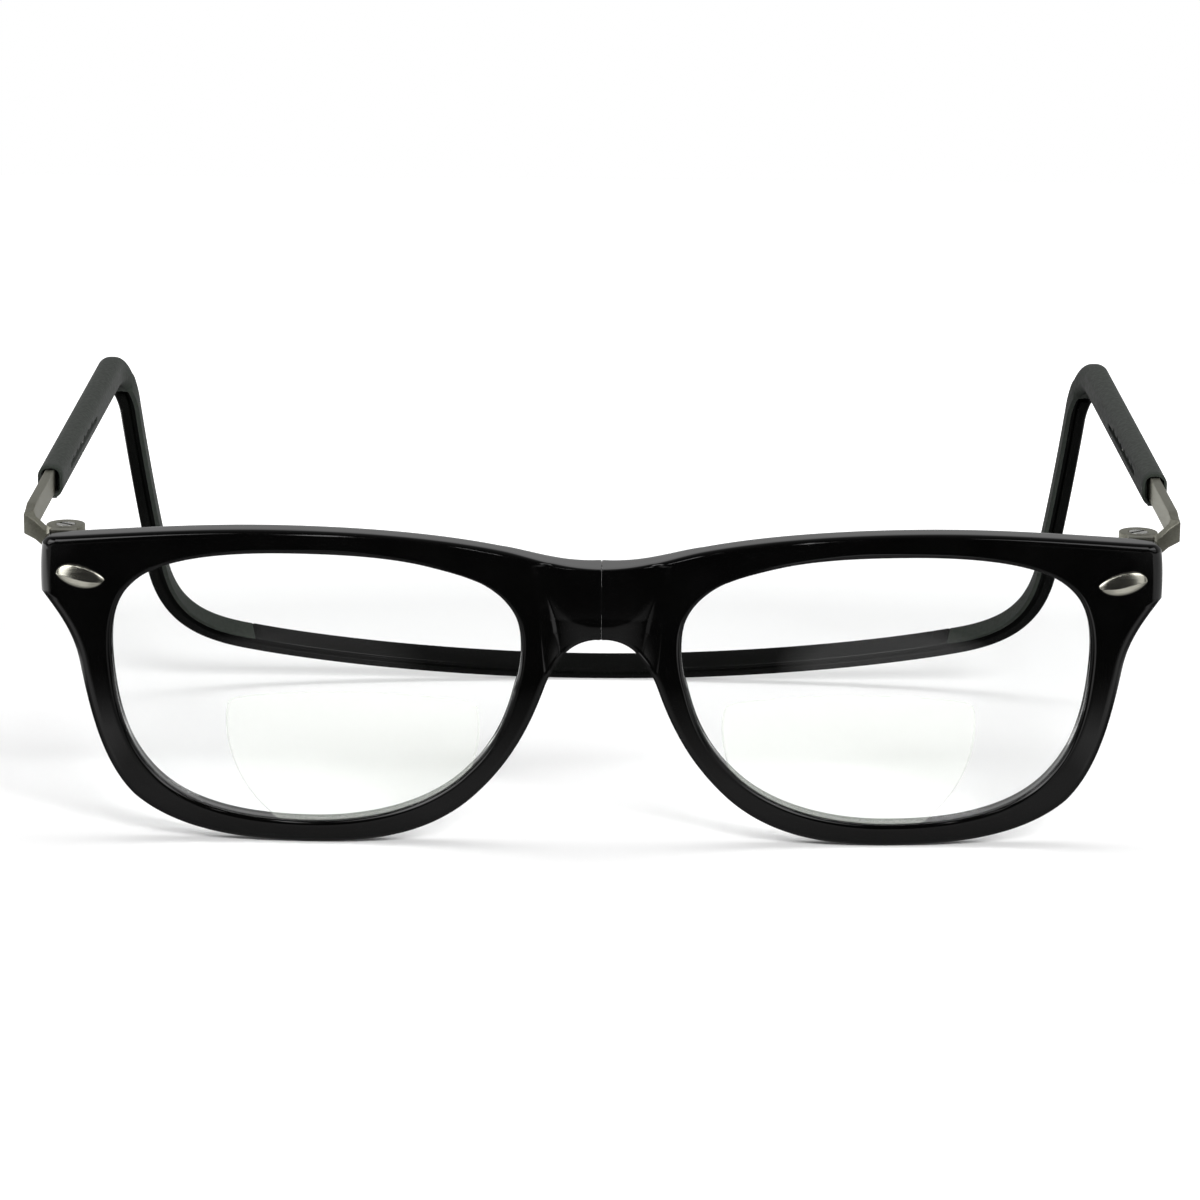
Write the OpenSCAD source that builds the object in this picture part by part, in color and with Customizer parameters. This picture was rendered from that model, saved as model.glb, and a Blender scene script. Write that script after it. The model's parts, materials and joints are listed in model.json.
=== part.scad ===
// Bifocal reading glasses that part at the bridge.
// Two half fronts meet at a pair of magnets, swing on barrel hinges behind their end pieces,
// and hang on flat metal arms. Each arm slides in a soft-touch temple tube, where a peg clicks
// along a serrated slot. A flexible neck band joins the two tubes behind the head.
//
// The model is drawn as worn: X to the wearer's left, Y from the front to the back of the head,
// Z up, with the bottom of the rims at Z 0. It is then leaned until it stands on a table, on the
// rims and on the back of the band. The +X half is drawn and the other half is its mirror image.

/* [Front] */
// Thickness of the rims
rim_t = 4.2; // [3.8:0.1:5]
// Width of the rim along its bottom
rim_w = 2.9; // [2.4:0.1:3.4]
// Thickness of the bridge at the seam
bridge_t = 5.6; // [5:0.1:6.5]
// Half the front's width, to the outer side of the end piece
half_w = 69.1; // [68:0.1:70.5]
// Height of the end piece's top corner above the bottom of the rims
end_top = 38.2; // [37.5:0.1:39]
// Radius of the sphere that the whole front lies on
front_r = 650; // [450:10:1200]
// Rounding of the front's outer edges
edge_r = 0.9; // [0.5:0.1:1.2]
// How far the bridge is set back between the rims
bridge_dip = 0.9; // [0.3:0.1:1.3]
// How steeply the bridge's face falls back towards the arch
bridge_fall = 0.25; // [0.1:0.05:0.35]
// How far the molded nose pad stands out behind the rim
pad_h = 1.7; // [0.5:0.1:2.5]
// Gap between the two half fronts at the seam
seam_gap = 0.12; // [0.08:0.02:0.3]

/* [Lens] */
// Thickness of the lens at its centre
lens_t = 2; // [1.8:0.1:2.4]
// Radius of the lens's front surface
lens_r = 560; // [400:10:640]
// Thickness of the tongue round the lens's edge
tongue_t = 1; // [0.8:0.1:1.2]
// Depth of the groove that the tongue sits in
groove_d = 0.8; // [0.6:0.1:1.1]
// Radius of the reading segment
segment_r = 15.7; // [12:0.1:17]
// Height of the segment's top line above the bottom of the rims
segment_top = 19.6; // [17:0.1:21]
// How far the segment stands out of the lens's front
segment_h = 0.2; // [0.1:0.05:0.3]

/* [Bridge magnet] */
// Diameter of the magnet
magnet_d = 3.6; // [3:0.1:3.8]
// Length of the magnet
magnet_l = 2; // [1.5:0.1:3]

/* [Rivet] */
// Length of the almond head
rivet_l = 6.2; // [5:0.1:6.6]
// Height of the almond head
rivet_w = 3.2; // [2.6:0.1:3.4]
// How far the head stands proud of the end piece
rivet_h = 0.8; // [0.5:0.1:1.2]
// Diameter of the two pins behind the head
rivet_pin_d = 0.9; // [0.7:0.1:1.1]

/* [Hinge] */
// Diameter of the barrel
barrel_d = 4.8; // [4.4:0.1:5]
// Thickness of each leaf of the bracket
leaf_t = 1.3; // [1.1:0.1:1.5]
// Height of the arm's eye between the leaves
eye_h = 3; // [2.6:0.1:3.2]
// Thickness of each washer
washer_t = 0.3; // [0.2:0.05:0.4]
// Diameter of the screw's shank
screw_d = 1.6; // [1.2:0.1:1.8]
// Diameter of the screw's head
screw_head_d = 2.4; // [2.2:0.1:2.8]
// Thickness of the bracket's plate behind the end piece
plate_t = 0.9; // [0.7:0.1:1.1]

/* [Arm] */
// Thickness of the arm's strip
arm_t = 1.2; // [1:0.05:1.3]
// Height of the arm's strip
arm_h = 3.2; // [2.8:0.1:3.3]
// How far the temple's centre line stands outside the end piece
temple_out = 2.4; // [2.2:0.05:2.8]
// Height of the temple's centre line above the bottom of the rims
temple_z = 38.2; // [38:0.1:38.5]
// Diameter of the detent peg
peg_d = 0.6; // [0.5:0.05:0.8]

/* [Temple tube] */
// Distance of the tube's mouth behind the front
tube_front = 34.3; // [32:0.1:36]
// Width of the tube at its mouth
tube_w = 3.2; // [3:0.1:3.5]
// Height of the tube at its mouth
tube_h = 4.3; // [4.2:0.1:4.6]
// How much larger the tube is at the bend than at its mouth
tube_swell = 1.06; // [1:0.01:1.15]
// Length of the serrated slot
slot_l = 30; // [24:0.1:31]
// Clear height of the slot
slot_h = 0.7; // [0.65:0.05:1]
// Distance between two notches of the slot
notch_pitch = 4.2; // [3:0.1:5]
// Depth of a notch
notch_d = 0.5; // [0.3:0.05:0.6]

/* [Neck band] */
// Thickness of the band from its outer to its inner side
band_w = 2.9; // [2.6:0.1:3.1]
// Height of the band
band_h = 3.4; // [3.1:0.1:3.7]
// Width of the groove along the band's lower side
band_groove_w = 0.75; // [0.5:0.05:0.9]
// Depth of that groove
band_groove_d = 1.1; // [0.7:0.1:1.3]
// Thickness of the tube's lip beside the groove
lip_t = 0.6; // [0.5:0.05:0.8]
// Thickness of the tube's web over the band
web_t = 0.8; // [0.6:0.1:1]

/* [Fits] */
// Running clearance round the screw and the peg
run_gap = 0.05; // [0.02:0.01:0.08]
// Clearance of pieces that are fixed in one another
seat_gap = 0.03; // [0.01:0.01:0.05]
// Clearance on each side of the strip in its tube
slide_gap = 0.08; // [0.05:0.01:0.12]
// Distance that moving pieces keep where they do not guide one another
clear = 0.3; // [0.2:0.05:0.4]

/* [Hidden] */
$fn = 48;

// Curves: a cubic in its two ends and two handles, and a run of them
function blend(a, b, t) = a + (b - a) * t;
function cubic(c, t) =
    pow(1 - t, 3) * c[0] + 3 * pow(1 - t, 2) * t * c[1] + 3 * (1 - t) * t * t * c[2] + pow(t, 3) * c[3];
function slope(c, t) =
    3 * pow(1 - t, 2) * (c[1] - c[0]) + 6 * (1 - t) * t * (c[2] - c[1]) + 3 * t * t * (c[3] - c[2]);
function unit(v) = v / norm(v);

// Outline of the +X half front, seen from the front, in stretches that run down the seam, round
// the nose and the rim, up the end piece and back along the top. Each stretch gives the outer
// edge, the edge of the lens opening beside it and the number of stations along it.
seam_x = seam_gap / 2;
seam_top = 35.5;
arch_z = 26.3;
notch = 0.4;
open_z = rim_w;
end_low = end_top - 6.8;
drawn = [
    [[[seam_x, seam_top - notch], [seam_x, 33], [seam_x, 30], [seam_x, arch_z + notch]],
     [[15.3, 33.8], [12.6, 32.6], [10.8, 30.6], [10.2, 28.6]], 6],
    [[[seam_x, arch_z + notch], [seam_x, arch_z], [seam_x, arch_z], [notch, arch_z]],
     [[10.2, 28.6], [10.1, 28.3], [10.1, 28], [10, 27.7]], 1],
    [[[notch, arch_z], [3.2, 26.1], [5.6, 24.3], [7, 20.3]],
     [[10, 27.7], [9.7, 25.6], [9.9, 22.8], [10.7, 20.4]], 8],
    [[[7, 20.3], [8.6, 15.8], [10.8, 11], [15.5, 6.5]],
     [[10.7, 20.4], [11.6, 16.6], [13, 13], [16.3, 9.8]], 7],
    [[[15.5, 6.5], [20.6, 1.6], [27.6, 0], [36, 0]],
     [[16.3, 9.8], [20.4, 5.4], [27.6, open_z], [36, open_z]], 9],
    [[[36, 0], [45, 0], [53, 1.2], [58, 5.6]],
     [[36, open_z], [44, open_z], [51.6, 4.2], [55.8, 9.2]], 9],
    [[[58, 5.6], [62, 9.6], [63.4, 16.4], [64.5, 22.4]],
     [[55.8, 9.2], [58.9, 12.8], [59.9, 17.2], [60.3, 22.6]], 6],
    [[[64.5, 22.4], [65.2, 26.4], [67.4, 29], [69.1, end_low]],
     [[60.3, 22.6], [60.5, 25], [60.4, 27.4], [59.8, 29.2]], 6],
    [[[69.1, end_low], [69.2, end_low + 2], [69.1, end_top - 2], [68.9, end_top - 1]],
     [[59.8, 29.2], [59.4, 30.6], [58.8, 31.6], [58, 32.4]], 4],
    [[[68.9, end_top - 1], [68.8, end_top - 0.4], [68.3, end_top], [67.6, end_top]],
     [[58, 32.4], [57.7, 32.7], [57.4, 33], [57, 33.3]], 3],
    [[[67.6, end_top], [58, end_top + 0.8], [49, 39.8], [40, 39.8]],
     [[57, 33.3], [53.6, 36], [46, 36.9], [38, 36.9]], 10],
    [[[40, 39.8], [31, 39.8], [21, 39.3], [12.5, 37.7]],
     [[38, 36.9], [31, 36.9], [25.5, 36.6], [21, 35.5]], 8],
    [[[12.5, 37.7], [8.9, 37.07], [5.6, seam_top], [notch, seam_top]],
     [[21, 35.5], [18.9, 35], [17, 34.5], [15.6, 33.9]], 6],
    [[[notch, seam_top], [seam_x, seam_top], [seam_x, seam_top], [seam_x, seam_top - notch]],
     [[15.6, 33.9], [15.5, 33.87], [15.4, 33.83], [15.3, 33.8]], 1]
];
// The drawn outline is stretched across until its end piece reaches the front's own width
drawn_w = drawn[8][0][0][0];
function widened(p) = [seam_x + (p[0] - seam_x) * (half_w - seam_x) / (drawn_w - seam_x), p[1]];
stretches = [for (d = drawn) [[for (p = d[0]) widened(p)], [for (p = d[1]) widened(p)], d[2]]];

// Form of the front's section where each stretch begins: how far the outer back edge stands behind
// the rim's back, and the rounding of the outer edge
seam_r = 0.15;
bridge_back = bridge_t - rim_t;
forms = [
    [bridge_back, seam_r], [bridge_back, seam_r], [bridge_back, edge_r / 2],
    [pad_h, edge_r], [pad_h / 3, edge_r],
    [0, edge_r], [0, edge_r], [0, edge_r], [0, edge_r], [0, edge_r], [0, edge_r], [0, edge_r],
    [0, edge_r], [bridge_back, edge_r / 2]
];
stations = [
    for (i = [0 : len(stretches) - 1]) let (s = stretches[i], next = forms[(i + 1) % len(forms)])
        for (k = [0 : s[2] - 1]) let (t = k / s[2])
            [cubic(s[0], t), cubic(s[1], t), blend(forms[i], next, t), unit(slope(s[0], t))]
];

// The whole front bends round a sphere behind it
sag_z = 20;
function sag(x, z) = front_r - sqrt(front_r * front_r - x * x - pow(z - sag_z, 2));
function on_front(x, depth, z) = [x, depth + sag(x, z), z];

// Place of the lens's tongue in the thickness of the rim
tongue_back = (rim_t + tongue_t) / 2;
groove_back = tongue_back + run_gap;
groove_front = tongue_back - tongue_t - run_gap;
lip_r = 0.45;
soft = 0.3;

// The bridge is set back between two ridges, which stand at ridge_x at each height. Its flat middle
// ends below in a bow, scoop_z at each X, from which the face falls back to the arch.
bow_z = 28.1;
bow_rise = 0.0206;
bow_power = 2.82;
ridge_slope = 2.2;
pad_z = 22;
function ridge_x(z) = 8.6 - 0.0145 * pow(38 - z, 2);
function scoop_z(x) = bow_z + bow_rise * pow(max(0, x), bow_power);
function scoop_x(z) = pow(max(0, z - bow_z) / bow_rise, 1 / bow_power);
function limited(t) = min(1, max(0, t));
function set_back(p) = let (
        inside = ridge_x(p[1]) - p[0],
        slope_w = min(ridge_slope, max(0.4, ridge_x(p[1]) - scoop_x(p[1]))))
    (1 - pow(1 - limited(inside / slope_w), 2)) * limited((p[1] - pad_z) / 3)
        * (bridge_dip + bridge_fall * max(0, scoop_z(p[0]) - p[1]));

// Stops along the face of one station: they crowd at the ridge where the station crosses it
function station_point(s, along) = s[1] + unit(s[0] - s[1]) * along;
function past_ridge(s, along) = let (p = station_point(s, along)) p[0] < ridge_x(p[1]) && p[1] > pad_z;
function ridge_at(s, low, high, turns = 12) = let (mid = (low + high) / 2)
    turns == 0 ? mid
        : past_ridge(s, mid) ? ridge_at(s, low, mid, turns - 1) : ridge_at(s, mid, high, turns - 1);
function face_stops(s, end) = let (
        ridge = ridge_at(s, lip_r, end), bridge = past_ridge(s, end - 0.3),
        start = bridge ? ridge : blend(lip_r, end, 1 / 6),
        shares = bridge ? [0, 0.12, 0.25, 0.45, 0.7, 1] : [0, 0.2, 0.4, 0.6, 0.8, 1])
    [for (share = shares) blend(start, end, share)];

// Section of the rim at one station, as pairs of distance from the lens opening and depth. Where the
// station runs aslant to the outer edge, the edge's rounding is stretched along it.
least_across = 0.3;
function rim_section(s) = let (
        w = norm(s[0] - s[1]), back = rim_t + s[2][0], r = s[2][1],
        across = abs(cross(s[0] - s[1], s[3])) / w, e = r / max(least_across, across),
        dip = set_back(station_point(s, w - e)))
    concat(
        [[0, groove_front], [0, lip_r], [soft * lip_r, soft * lip_r], [lip_r, 0]],
        [for (along = face_stops(s, w - e)) [along, set_back(station_point(s, along))]],
        [[w - soft * e, dip + soft * r], [w, dip + r]],
        [[w, back - r], [w - soft * e, back - soft * r], [w - e, back], [w / 2, rim_t + s[2][0] / 4]],
        [[lip_r, rim_t], [soft * lip_r, rim_t - soft * lip_r], [0, rim_t - lip_r]],
        [[0, groove_back], [groove_d, groove_back], [groove_d, groove_front]]
    );
function rim_ring(s) = [
    for (q = rim_section(s)) let (p = station_point(s, q[0])) on_front(p[0], q[1], p[1])
];

// Faces that join rings of equal length, closed on themselves or capped at their ends
function skin(rings, n, closed) = [
    for (i = [0 : rings - (closed ? 1 : 2)]) for (k = [0 : n - 1])
        let (a = i * n + k, b = i * n + (k + 1) % n, c = ((i + 1) % rings) * n + k,
             d = ((i + 1) % rings) * n + (k + 1) % n)
            each [[a, b, d], [a, d, c]]
];
function caps(rings, n) = [
    [for (k = [n - 1 : -1 : 0]) k],
    [for (k = [0 : n - 1]) (rings - 1) * n + k]
];
module loft(rings, closed = false) {
    n = len(rings[0]);
    polyhedron([for (r = rings) each r],
               concat(skin(len(rings), n, closed), closed ? [] : caps(len(rings), n)));
}

// Hinge: its axis stands behind the end piece, and the bracket's plate is let into the back
hinge_x = half_w - 2.5;
plate_back = sag(hinge_x, end_top) + rim_t;
hinge_y = plate_back + barrel_d / 2 + clear;
temple_x = half_w + temple_out;
barrel_top = temple_z + 0.2;
barrel_h = 2 * leaf_t + eye_h + 2 * washer_t + 4 * run_gap;
barrel_low = barrel_top - barrel_h;
eye_low = barrel_low + leaf_t + washer_t + 2 * run_gap;
tongue_w = 3.2;
plate_w = 7;
plate_x = hinge_x - 1.7;

// Rivet: an almond bounded by two balls, standing square to the front's face
rivet_x = half_w - 5;
rivet_z = end_top - 4.7;
rivet_tilt = -8;
rivet_seat = 0.3;
rivet_turn = asin(rivet_x / front_r);
rivet_rear = plate_back - sag(rivet_x, rivet_z) - rivet_seat - 0.15;

// Magnet: in the middle of the seam's face
magnet_y = bridge_dip + (bridge_t - bridge_dip) / 2;
magnet_z = (seam_top + arch_z) / 2;

// Arm: a strip whose leg turns in at a mitred corner and slopes down to the hinge's eye
arm_low = temple_z - arm_h / 2;
arm_top = temple_z + arm_h / 2;
leg_y = hinge_y + barrel_d / 2 - 0.6;
corner_run = 0.8;
corner_wide = 0.32;
arm_soft = 0.15;
slot_front = tube_front + 9.3;
peg_y = slot_front + slot_l / 2;
arm_tip = peg_y + 2.2;
slide_reach = slot_l / 2 - peg_d / 2 - 0.4;
// Stops along the arm from its eye to its tip: the place, the way the arm runs there, and the
// heights of its lower side, of its outer upper edge and of its inner upper edge
leg_mid = leg_y + arm_t / 2;
eye_top = eye_low + eye_h;
arm_stops = [
    [[hinge_x - 0.8, leg_mid], 0, eye_low + 0.1, eye_top - 0.3, eye_top - 0.1],
    [[hinge_x + 1.9, leg_mid], 0, eye_low + 0.2, eye_top - 0.3, eye_top - 0.1],
    [[hinge_x + 2.3, leg_mid], 0, eye_low + 0.6, eye_top - 0.3, eye_top + 0.3],
    [[temple_x - corner_run, leg_mid], 0, arm_low - 0.7, arm_top - 1.5, arm_top - 1.1],
    [[temple_x, leg_mid], 45, arm_low, arm_top - 0.6, arm_top - 0.4],
    [[temple_x, leg_mid + corner_run], 90, arm_low, arm_top - 0.5, arm_top - 0.3],
    [[temple_x, leg_mid + corner_run + 2.5], 90, arm_low, arm_top, arm_top],
    [[temple_x, arm_tip - 0.6], 90, arm_low, arm_top, arm_top],
    [[temple_x, arm_tip], 90, arm_low + 0.6, arm_top - 0.6, arm_top - 0.6]
];
function arm_ring(a) = let (
        e = arm_soft, t = arm_t / 2, out = (1 + corner_wide * sin(2 * a[1])) * [sin(a[1]), -cos(a[1])]) [
    for (q = [[t, a[2] + e], [t, a[3] - e], [t - e, a[3]], [e - t, a[4]], [-t, a[4] - e],
              [-t, a[2] + e], [e - t, a[2]], [t - e, a[2]]])
        [a[0][0] + out[0] * q[0], a[0][1] + out[1] * q[0], q[1]]
];

// Route of the temple's centre line past the tube: bend, leg, corner and back of the neck
bend_y = 104.5;
neck_y = 148.4;
neck_z = -17.2;
crotch = [temple_x - 1.95, 113.3, 31.5];
heel = [temple_x - 4.65, 125.6, 4.6];
nape = [temple_x * 0.76, 138.4, -10];
route = [
    [[temple_x, bend_y, temple_z], [temple_x - 0.25, 110.2, temple_z],
     [temple_x - 1.65, 111.6, 35.4], crotch],
    [crotch, [temple_x - 2.55, 117, 23.4], [temple_x - 3.55, 121.7, 12.8], heel],
    [heel, [temple_x - 5.85, 129.6, -3.8], [temple_x * 0.858, 134.6, -7.6], nape],
    [nape, [temple_x * 0.607, 144.4, -13.8], [temple_x * 0.3075, neck_y, neck_z], [0, neck_y, neck_z]]
];
// Lean of the band's upper side where each stretch begins, and at the middle of the neck
leans = [0, 66, 64, 60, 50];
stretch_steps = [12, 6, 9, 12];

// Where the tube opens into a channel for the band, and where its walls have run out
channel_open = 0.62;
band_start = channel_open + 0.06;
function tube_share(i, t) = i == 0 ? min(1, max(0, (t - channel_open + 0.06) / 0.06)) : 1;
function wall_share(i, t) = i < 2 ? 1 : i == 2 ? 1 - 0.75 * t * t : 0.25;

// Frame across the route: a place, the direction to the inner side and the upper direction
function across(i, t) = let (
        run = unit(slope(route[i], t)), lean = blend(leans[i], leans[i + 1], t),
        side = unit(cross([0, sin(lean), cos(lean)], run)))
    [cubic(route[i], t), side, cross(run, side)];
function placed(frame, q) = frame[0] + q[0] * frame[1] + q[1] * frame[2];
function ring_at(frame, section) = [for (q = section) placed(frame, q)];

// Section of the tube, from a full round bar (share 0) to a channel that is open below (share 1)
function corner(x, y, r, from) = [
    for (k = [0 : 4]) let (a = from - 22.5 * k) [x + r * cos(a), y + r * sin(a)]
];
function bar_section(w, h, r) = let (x = w / 2 - r, y = h / 2 - r) concat(
    corner(-x, y, r, 180), corner(x, y, r, 90), corner(x, -y, r, 0),
    [[x / 2, -h / 2], [0, -h / 2], [-x / 2, -h / 2]], corner(-x, -y, r, -90)
);
function channel_section(w, h, lip, web) = let (
        x = w / 2, y = h / 2, r = band_r + lip,
        side_r = web / 2, lip_r = 0.4 * lip, foot_r = 0.3 * web)
    concat(
        corner(side_r - x, y - side_r, side_r, 180), corner(x - r, y - r, r, 90),
        corner(x - lip_r, lip_r - y, lip_r, 0),
        [[x - lip, -y], [x - lip, y - web - 0.3], [x - lip - 0.3, y - web]],
        corner(foot_r - x, y - web + foot_r, foot_r, -90)
    );
bar_r = 1.4;
band_r = 0.5;
mouth_wall = 0.35;
mouth_deep = 2.5;
swell_w = tube_w * tube_swell;
swell_h = tube_h * tube_swell;
function tube_section(i, t) = let (
        share = tube_share(i, t), wall = wall_share(i, t), grown = i == 0 ? t : 1,
        w = blend(swell_w, band_w, grown), h = blend(swell_h, band_h, grown))
    share == 0 ? bar_section(w, h, bar_r)
               : blend(bar_section(w, h, bar_r), channel_section(w, h, lip_t * wall, web_t * wall), share);

// Section of the band: it fills the channel and keeps a groove beside the lip. Behind the neck,
// where the channel has run out, the band has its full section and the groove fades away.
function band_section(i, t) = let (
        wall = wall_share(i, t), free = i < 3 ? 0 : 1, grown = i == 0 ? t : 1,
        x = blend(swell_w, band_w, grown) / 2, y = blend(swell_h, band_h, grown) / 2,
        top = i < 3 ? y - web_t * wall - seat_gap : y,
        side = i < 3 ? x - lip_t * wall - seat_gap : x,
        groove_x = x - lip_t - band_groove_w,
        deep = i < 3 ? band_groove_d : band_groove_d * (1 - 0.85 * t),
        lip_low = i < 3 ? deep - y - 0.02 : 0.3 - y) [
    [-x, top - band_r], [soft * band_r - x, top - soft * band_r], [band_r - x, top],
    [side - band_r, top], [side - soft * band_r, top - soft * band_r], [side, top - band_r],
    [side, lip_low + 0.2], [side - 0.2, i < 3 ? deep - y : -y],
    [x - lip_t - 0.05, i < 3 ? deep - y : -y], [x - lip_t - 0.1, deep - y],
    [groove_x, deep - y], [groove_x, -y],
    [0.6 - x, -y], [soft * 0.6 - x, soft * 0.6 - y], [-x, 0.6 - y]
];

// Stops along the route as pairs of stretch and share
tube_stops = concat(
    [for (k = [0 : stretch_steps[0] - 1]) [0, k / stretch_steps[0]]],
    [for (k = [0 : stretch_steps[1] - 1]) [1, k / stretch_steps[1]]],
    [for (k = [0 : stretch_steps[2]]) [2, k / stretch_steps[2]]]
);
band_stops = concat(
    [[0, band_start], [0, 0.8], [0, 0.9]],
    [for (k = [0 : stretch_steps[1] - 1]) [1, k / stretch_steps[1]]],
    [for (k = [0 : stretch_steps[2]]) [2, k / stretch_steps[2]]],
    [for (k = [0 : stretch_steps[3]]) [3, max(0.02, k / stretch_steps[3])]]
);
tube_rings = concat(
    [ring_at([[temple_x, tube_front, temple_z], [-1, 0, 0], [0, 0, 1]], bar_section(tube_w, tube_h, bar_r))],
    [for (s = tube_stops) ring_at(across(s[0], s[1]), tube_section(s[0], s[1]))]
);
band_half = [for (s = band_stops) ring_at(across(s[0], s[1]), band_section(s[0], s[1]))];
function mirrored(ring) = [for (p = ring) [-p[0], p[1], p[2]]];
band_rings = concat(
    band_half, [for (i = [len(band_half) - 2 : -1 : 0]) mirrored(band_half[i])]
);

// Rest pose: the glasses lean until the rims and the back of the band stand on the same plane
rim_points = [for (s = stations) each rim_ring(s)];
band_points = [for (r = band_half) each r];
function height(p, a) = p[1] * sin(a) + p[2] * cos(a);
function reach(p, a) = p[1] * cos(a) - p[2] * sin(a);
function lowest(points, a) = min([for (p = points) height(p, a)]);
first_lean = atan2(-(neck_z - band_h / 2), neck_y);
rest_lean = first_lean
    + (lowest(rim_points, first_lean) - lowest(band_points, first_lean)) / neck_y * 180 / PI;
floor_z = lowest(rim_points, rest_lean);
front_y = min([for (p = rim_points) reach(p, rest_lean)]);
rear_y = max([for (p = band_points) reach(p, rest_lean)]);

module at_rest() {
    translate([0, -(front_y + rear_y) / 2, -floor_z]) rotate([rest_lean, 0, 0]) children();
}
module on_side(side) {
    if (side == "left") children();
    else mirror([1, 0, 0]) children();
}

// Square to the front's face at the rivet
module at_rivet() {
    translate(on_front(rivet_x, 0, rivet_z)) rotate([0, 0, rivet_turn]) rotate([0, rivet_tilt, 0]) children();
}
module rivet_pins(gap, spare = 0) {
    for (x = [-1.6, 1.6])
        translate([x, rivet_seat - 0.1, 0]) rotate([-90, 0, 0])
            cylinder(d = rivet_pin_d + 2 * gap, h = rivet_rear + spare);
}
// Almond outline: two arcs that meet in points, with the outer point rounded off
module almond(grow) {
    w = rivet_w / 2 + grow;
    l = rivet_l / 2 + 0.5 + grow;
    r = (l * l + w * w) / (2 * w);
    intersection() {
        translate([0, w - r]) circle(r, $fn = 160);
        translate([0, r - w]) circle(r, $fn = 160);
        translate([-rivet_l / 2 - 0.8, 0]) circle(rivet_l + 0.8 + grow, $fn = 96);
    }
}
module half_front(side) {
    at_rest() on_side(side) difference() {
        loft([for (s = stations) rim_ring(s)], closed = true);
        // pocket of the magnet
        translate([-1, magnet_y, magnet_z]) rotate([0, 90, 0])
            cylinder(d = magnet_d + 2 * seat_gap, h = 1 + seam_x + magnet_l + 0.15);
        // seat and holes of the rivet
        at_rivet() {
            translate([0, rivet_seat, 0]) rotate([90, 0, 0]) linear_extrude(2) almond(seat_gap);
            rivet_pins(seat_gap, 1);
        }
        // recess of the bracket's plate and of its upper tongue
        plate(seat_gap, 3);
        translate([hinge_x - tongue_w / 2 - seat_gap, plate_back - plate_t - seat_gap, barrel_top - 3])
            cube([tongue_w + 2 * seat_gap, plate_t + 3, 4]);
    }
}

// Outline of the lens at a distance from the edge of its opening
function lens_outline(along) = [for (s = stations) station_point(s, along)];
module upright(points, y0, y1) {
    translate([0, y1, 0]) rotate([90, 0, 0]) linear_extrude(y1 - y0) polygon(points);
}
// Block turned to a ball's surface: it bulges to -Y at the origin and reaches back behind it
module turned(r, wide, deep) {
    steps = 16;
    arc = [for (i = [0 : steps]) let (a = asin(wide / r) * i / steps) [r * sin(a), r * cos(a) - r]];
    rotate([90, 0, 0]) rotate_extrude($fn = 180) polygon(concat(arc, [[wide, -deep], [0, -deep]]));
}
module front_ball(depth) {
    translate([0, depth, sag_z]) turned(front_r, half_w + 3, 16);
}
module lens_ball(proud) {
    turn = atan2(lens_aim[0], lens_aim[1]);
    translate(lens_back - lens_aim * (lens_t + proud)) rotate([0, 0, -turn]) turned(lens_r, lens_reach, 12);
}
lens_low = [for (i = [0, 1]) min([for (s = stations) s[1][i]])];
lens_high = [for (i = [0, 1]) max([for (s = stations) s[1][i]])];
lens_x = (lens_low[0] + lens_high[0]) / 2;
lens_z = (lens_low[1] + lens_high[1]) / 2;
lens_reach = norm(lens_high - lens_low) / 2 + groove_d + 2;
lens_back = on_front(lens_x, tongue_back, lens_z);
lens_aim = unit([0, front_r + tongue_back, sag_z] - lens_back);
segment_x = lens_x - 4.5;
segment_bow = 110;
module bifocal_lens(side) {
    at_rest() on_side(side) {
        difference() {
            union() {
                intersection() {
                    upright(lens_outline(-seat_gap), -4, 8);
                    lens_ball(0);
                }
                intersection() {
                    upright(lens_outline(groove_d - run_gap), -4, 8);
                    front_ball(tongue_back - tongue_t);
                }
            }
            front_ball(tongue_back);
        }
        segment();
    }
}
// Reading segment: a round button cut by a bowed top line, raised from the front
module segment() {
    difference() {
        intersection() {
            upright(lens_outline(-seat_gap - 0.02), -4, 8);
            lens_ball(segment_h);
            translate([segment_x, 8, segment_top - 4]) rotate([90, 0, 0])
                cylinder(r = segment_r, h = 12, $fn = 96);
            translate([segment_x, 8, segment_top - segment_bow]) rotate([90, 0, 0])
                cylinder(r = segment_bow, h = 12, $fn = 360);
        }
        front_ball(tongue_back - 0.6);
    }
}

module bridge_magnet(side) {
    at_rest() on_side(side) translate([seam_x + 0.1, magnet_y, magnet_z]) rotate([0, 90, 0])
        cylinder(d = magnet_d, h = magnet_l);
}

// Head of the rivet: the ridge runs along it where the two balls meet
module almond_rivet(side) {
    half = rivet_l / 2 + 0.5;
    ridge_r = (half * half + rivet_h * rivet_h) / (2 * rivet_h);
    deep = ridge_r - rivet_h;
    off = (ridge_r * ridge_r - deep * deep - pow(rivet_w / 2, 2)) / rivet_w;
    ball_r = sqrt(ridge_r * ridge_r + off * off);
    at_rest() on_side(side) at_rivet() {
        intersection() {
            translate([0, rivet_seat, 0]) rotate([90, 0, 0])
                linear_extrude(rivet_seat + rivet_h + 1) almond(0);
            translate([0, deep, off]) sphere(ball_r, $fn = 240);
            translate([0, deep, -off]) sphere(ball_r, $fn = 240);
        }
        rivet_pins(0);
    }
}

module plate(gap, spare = 0) {
    translate([plate_x - plate_w / 2 - gap, plate_back - plate_t - gap, barrel_low - gap])
        cube([plate_w + 2 * gap, plate_t + gap + spare, barrel_h - 1 + 2 * gap]);
}
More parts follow.
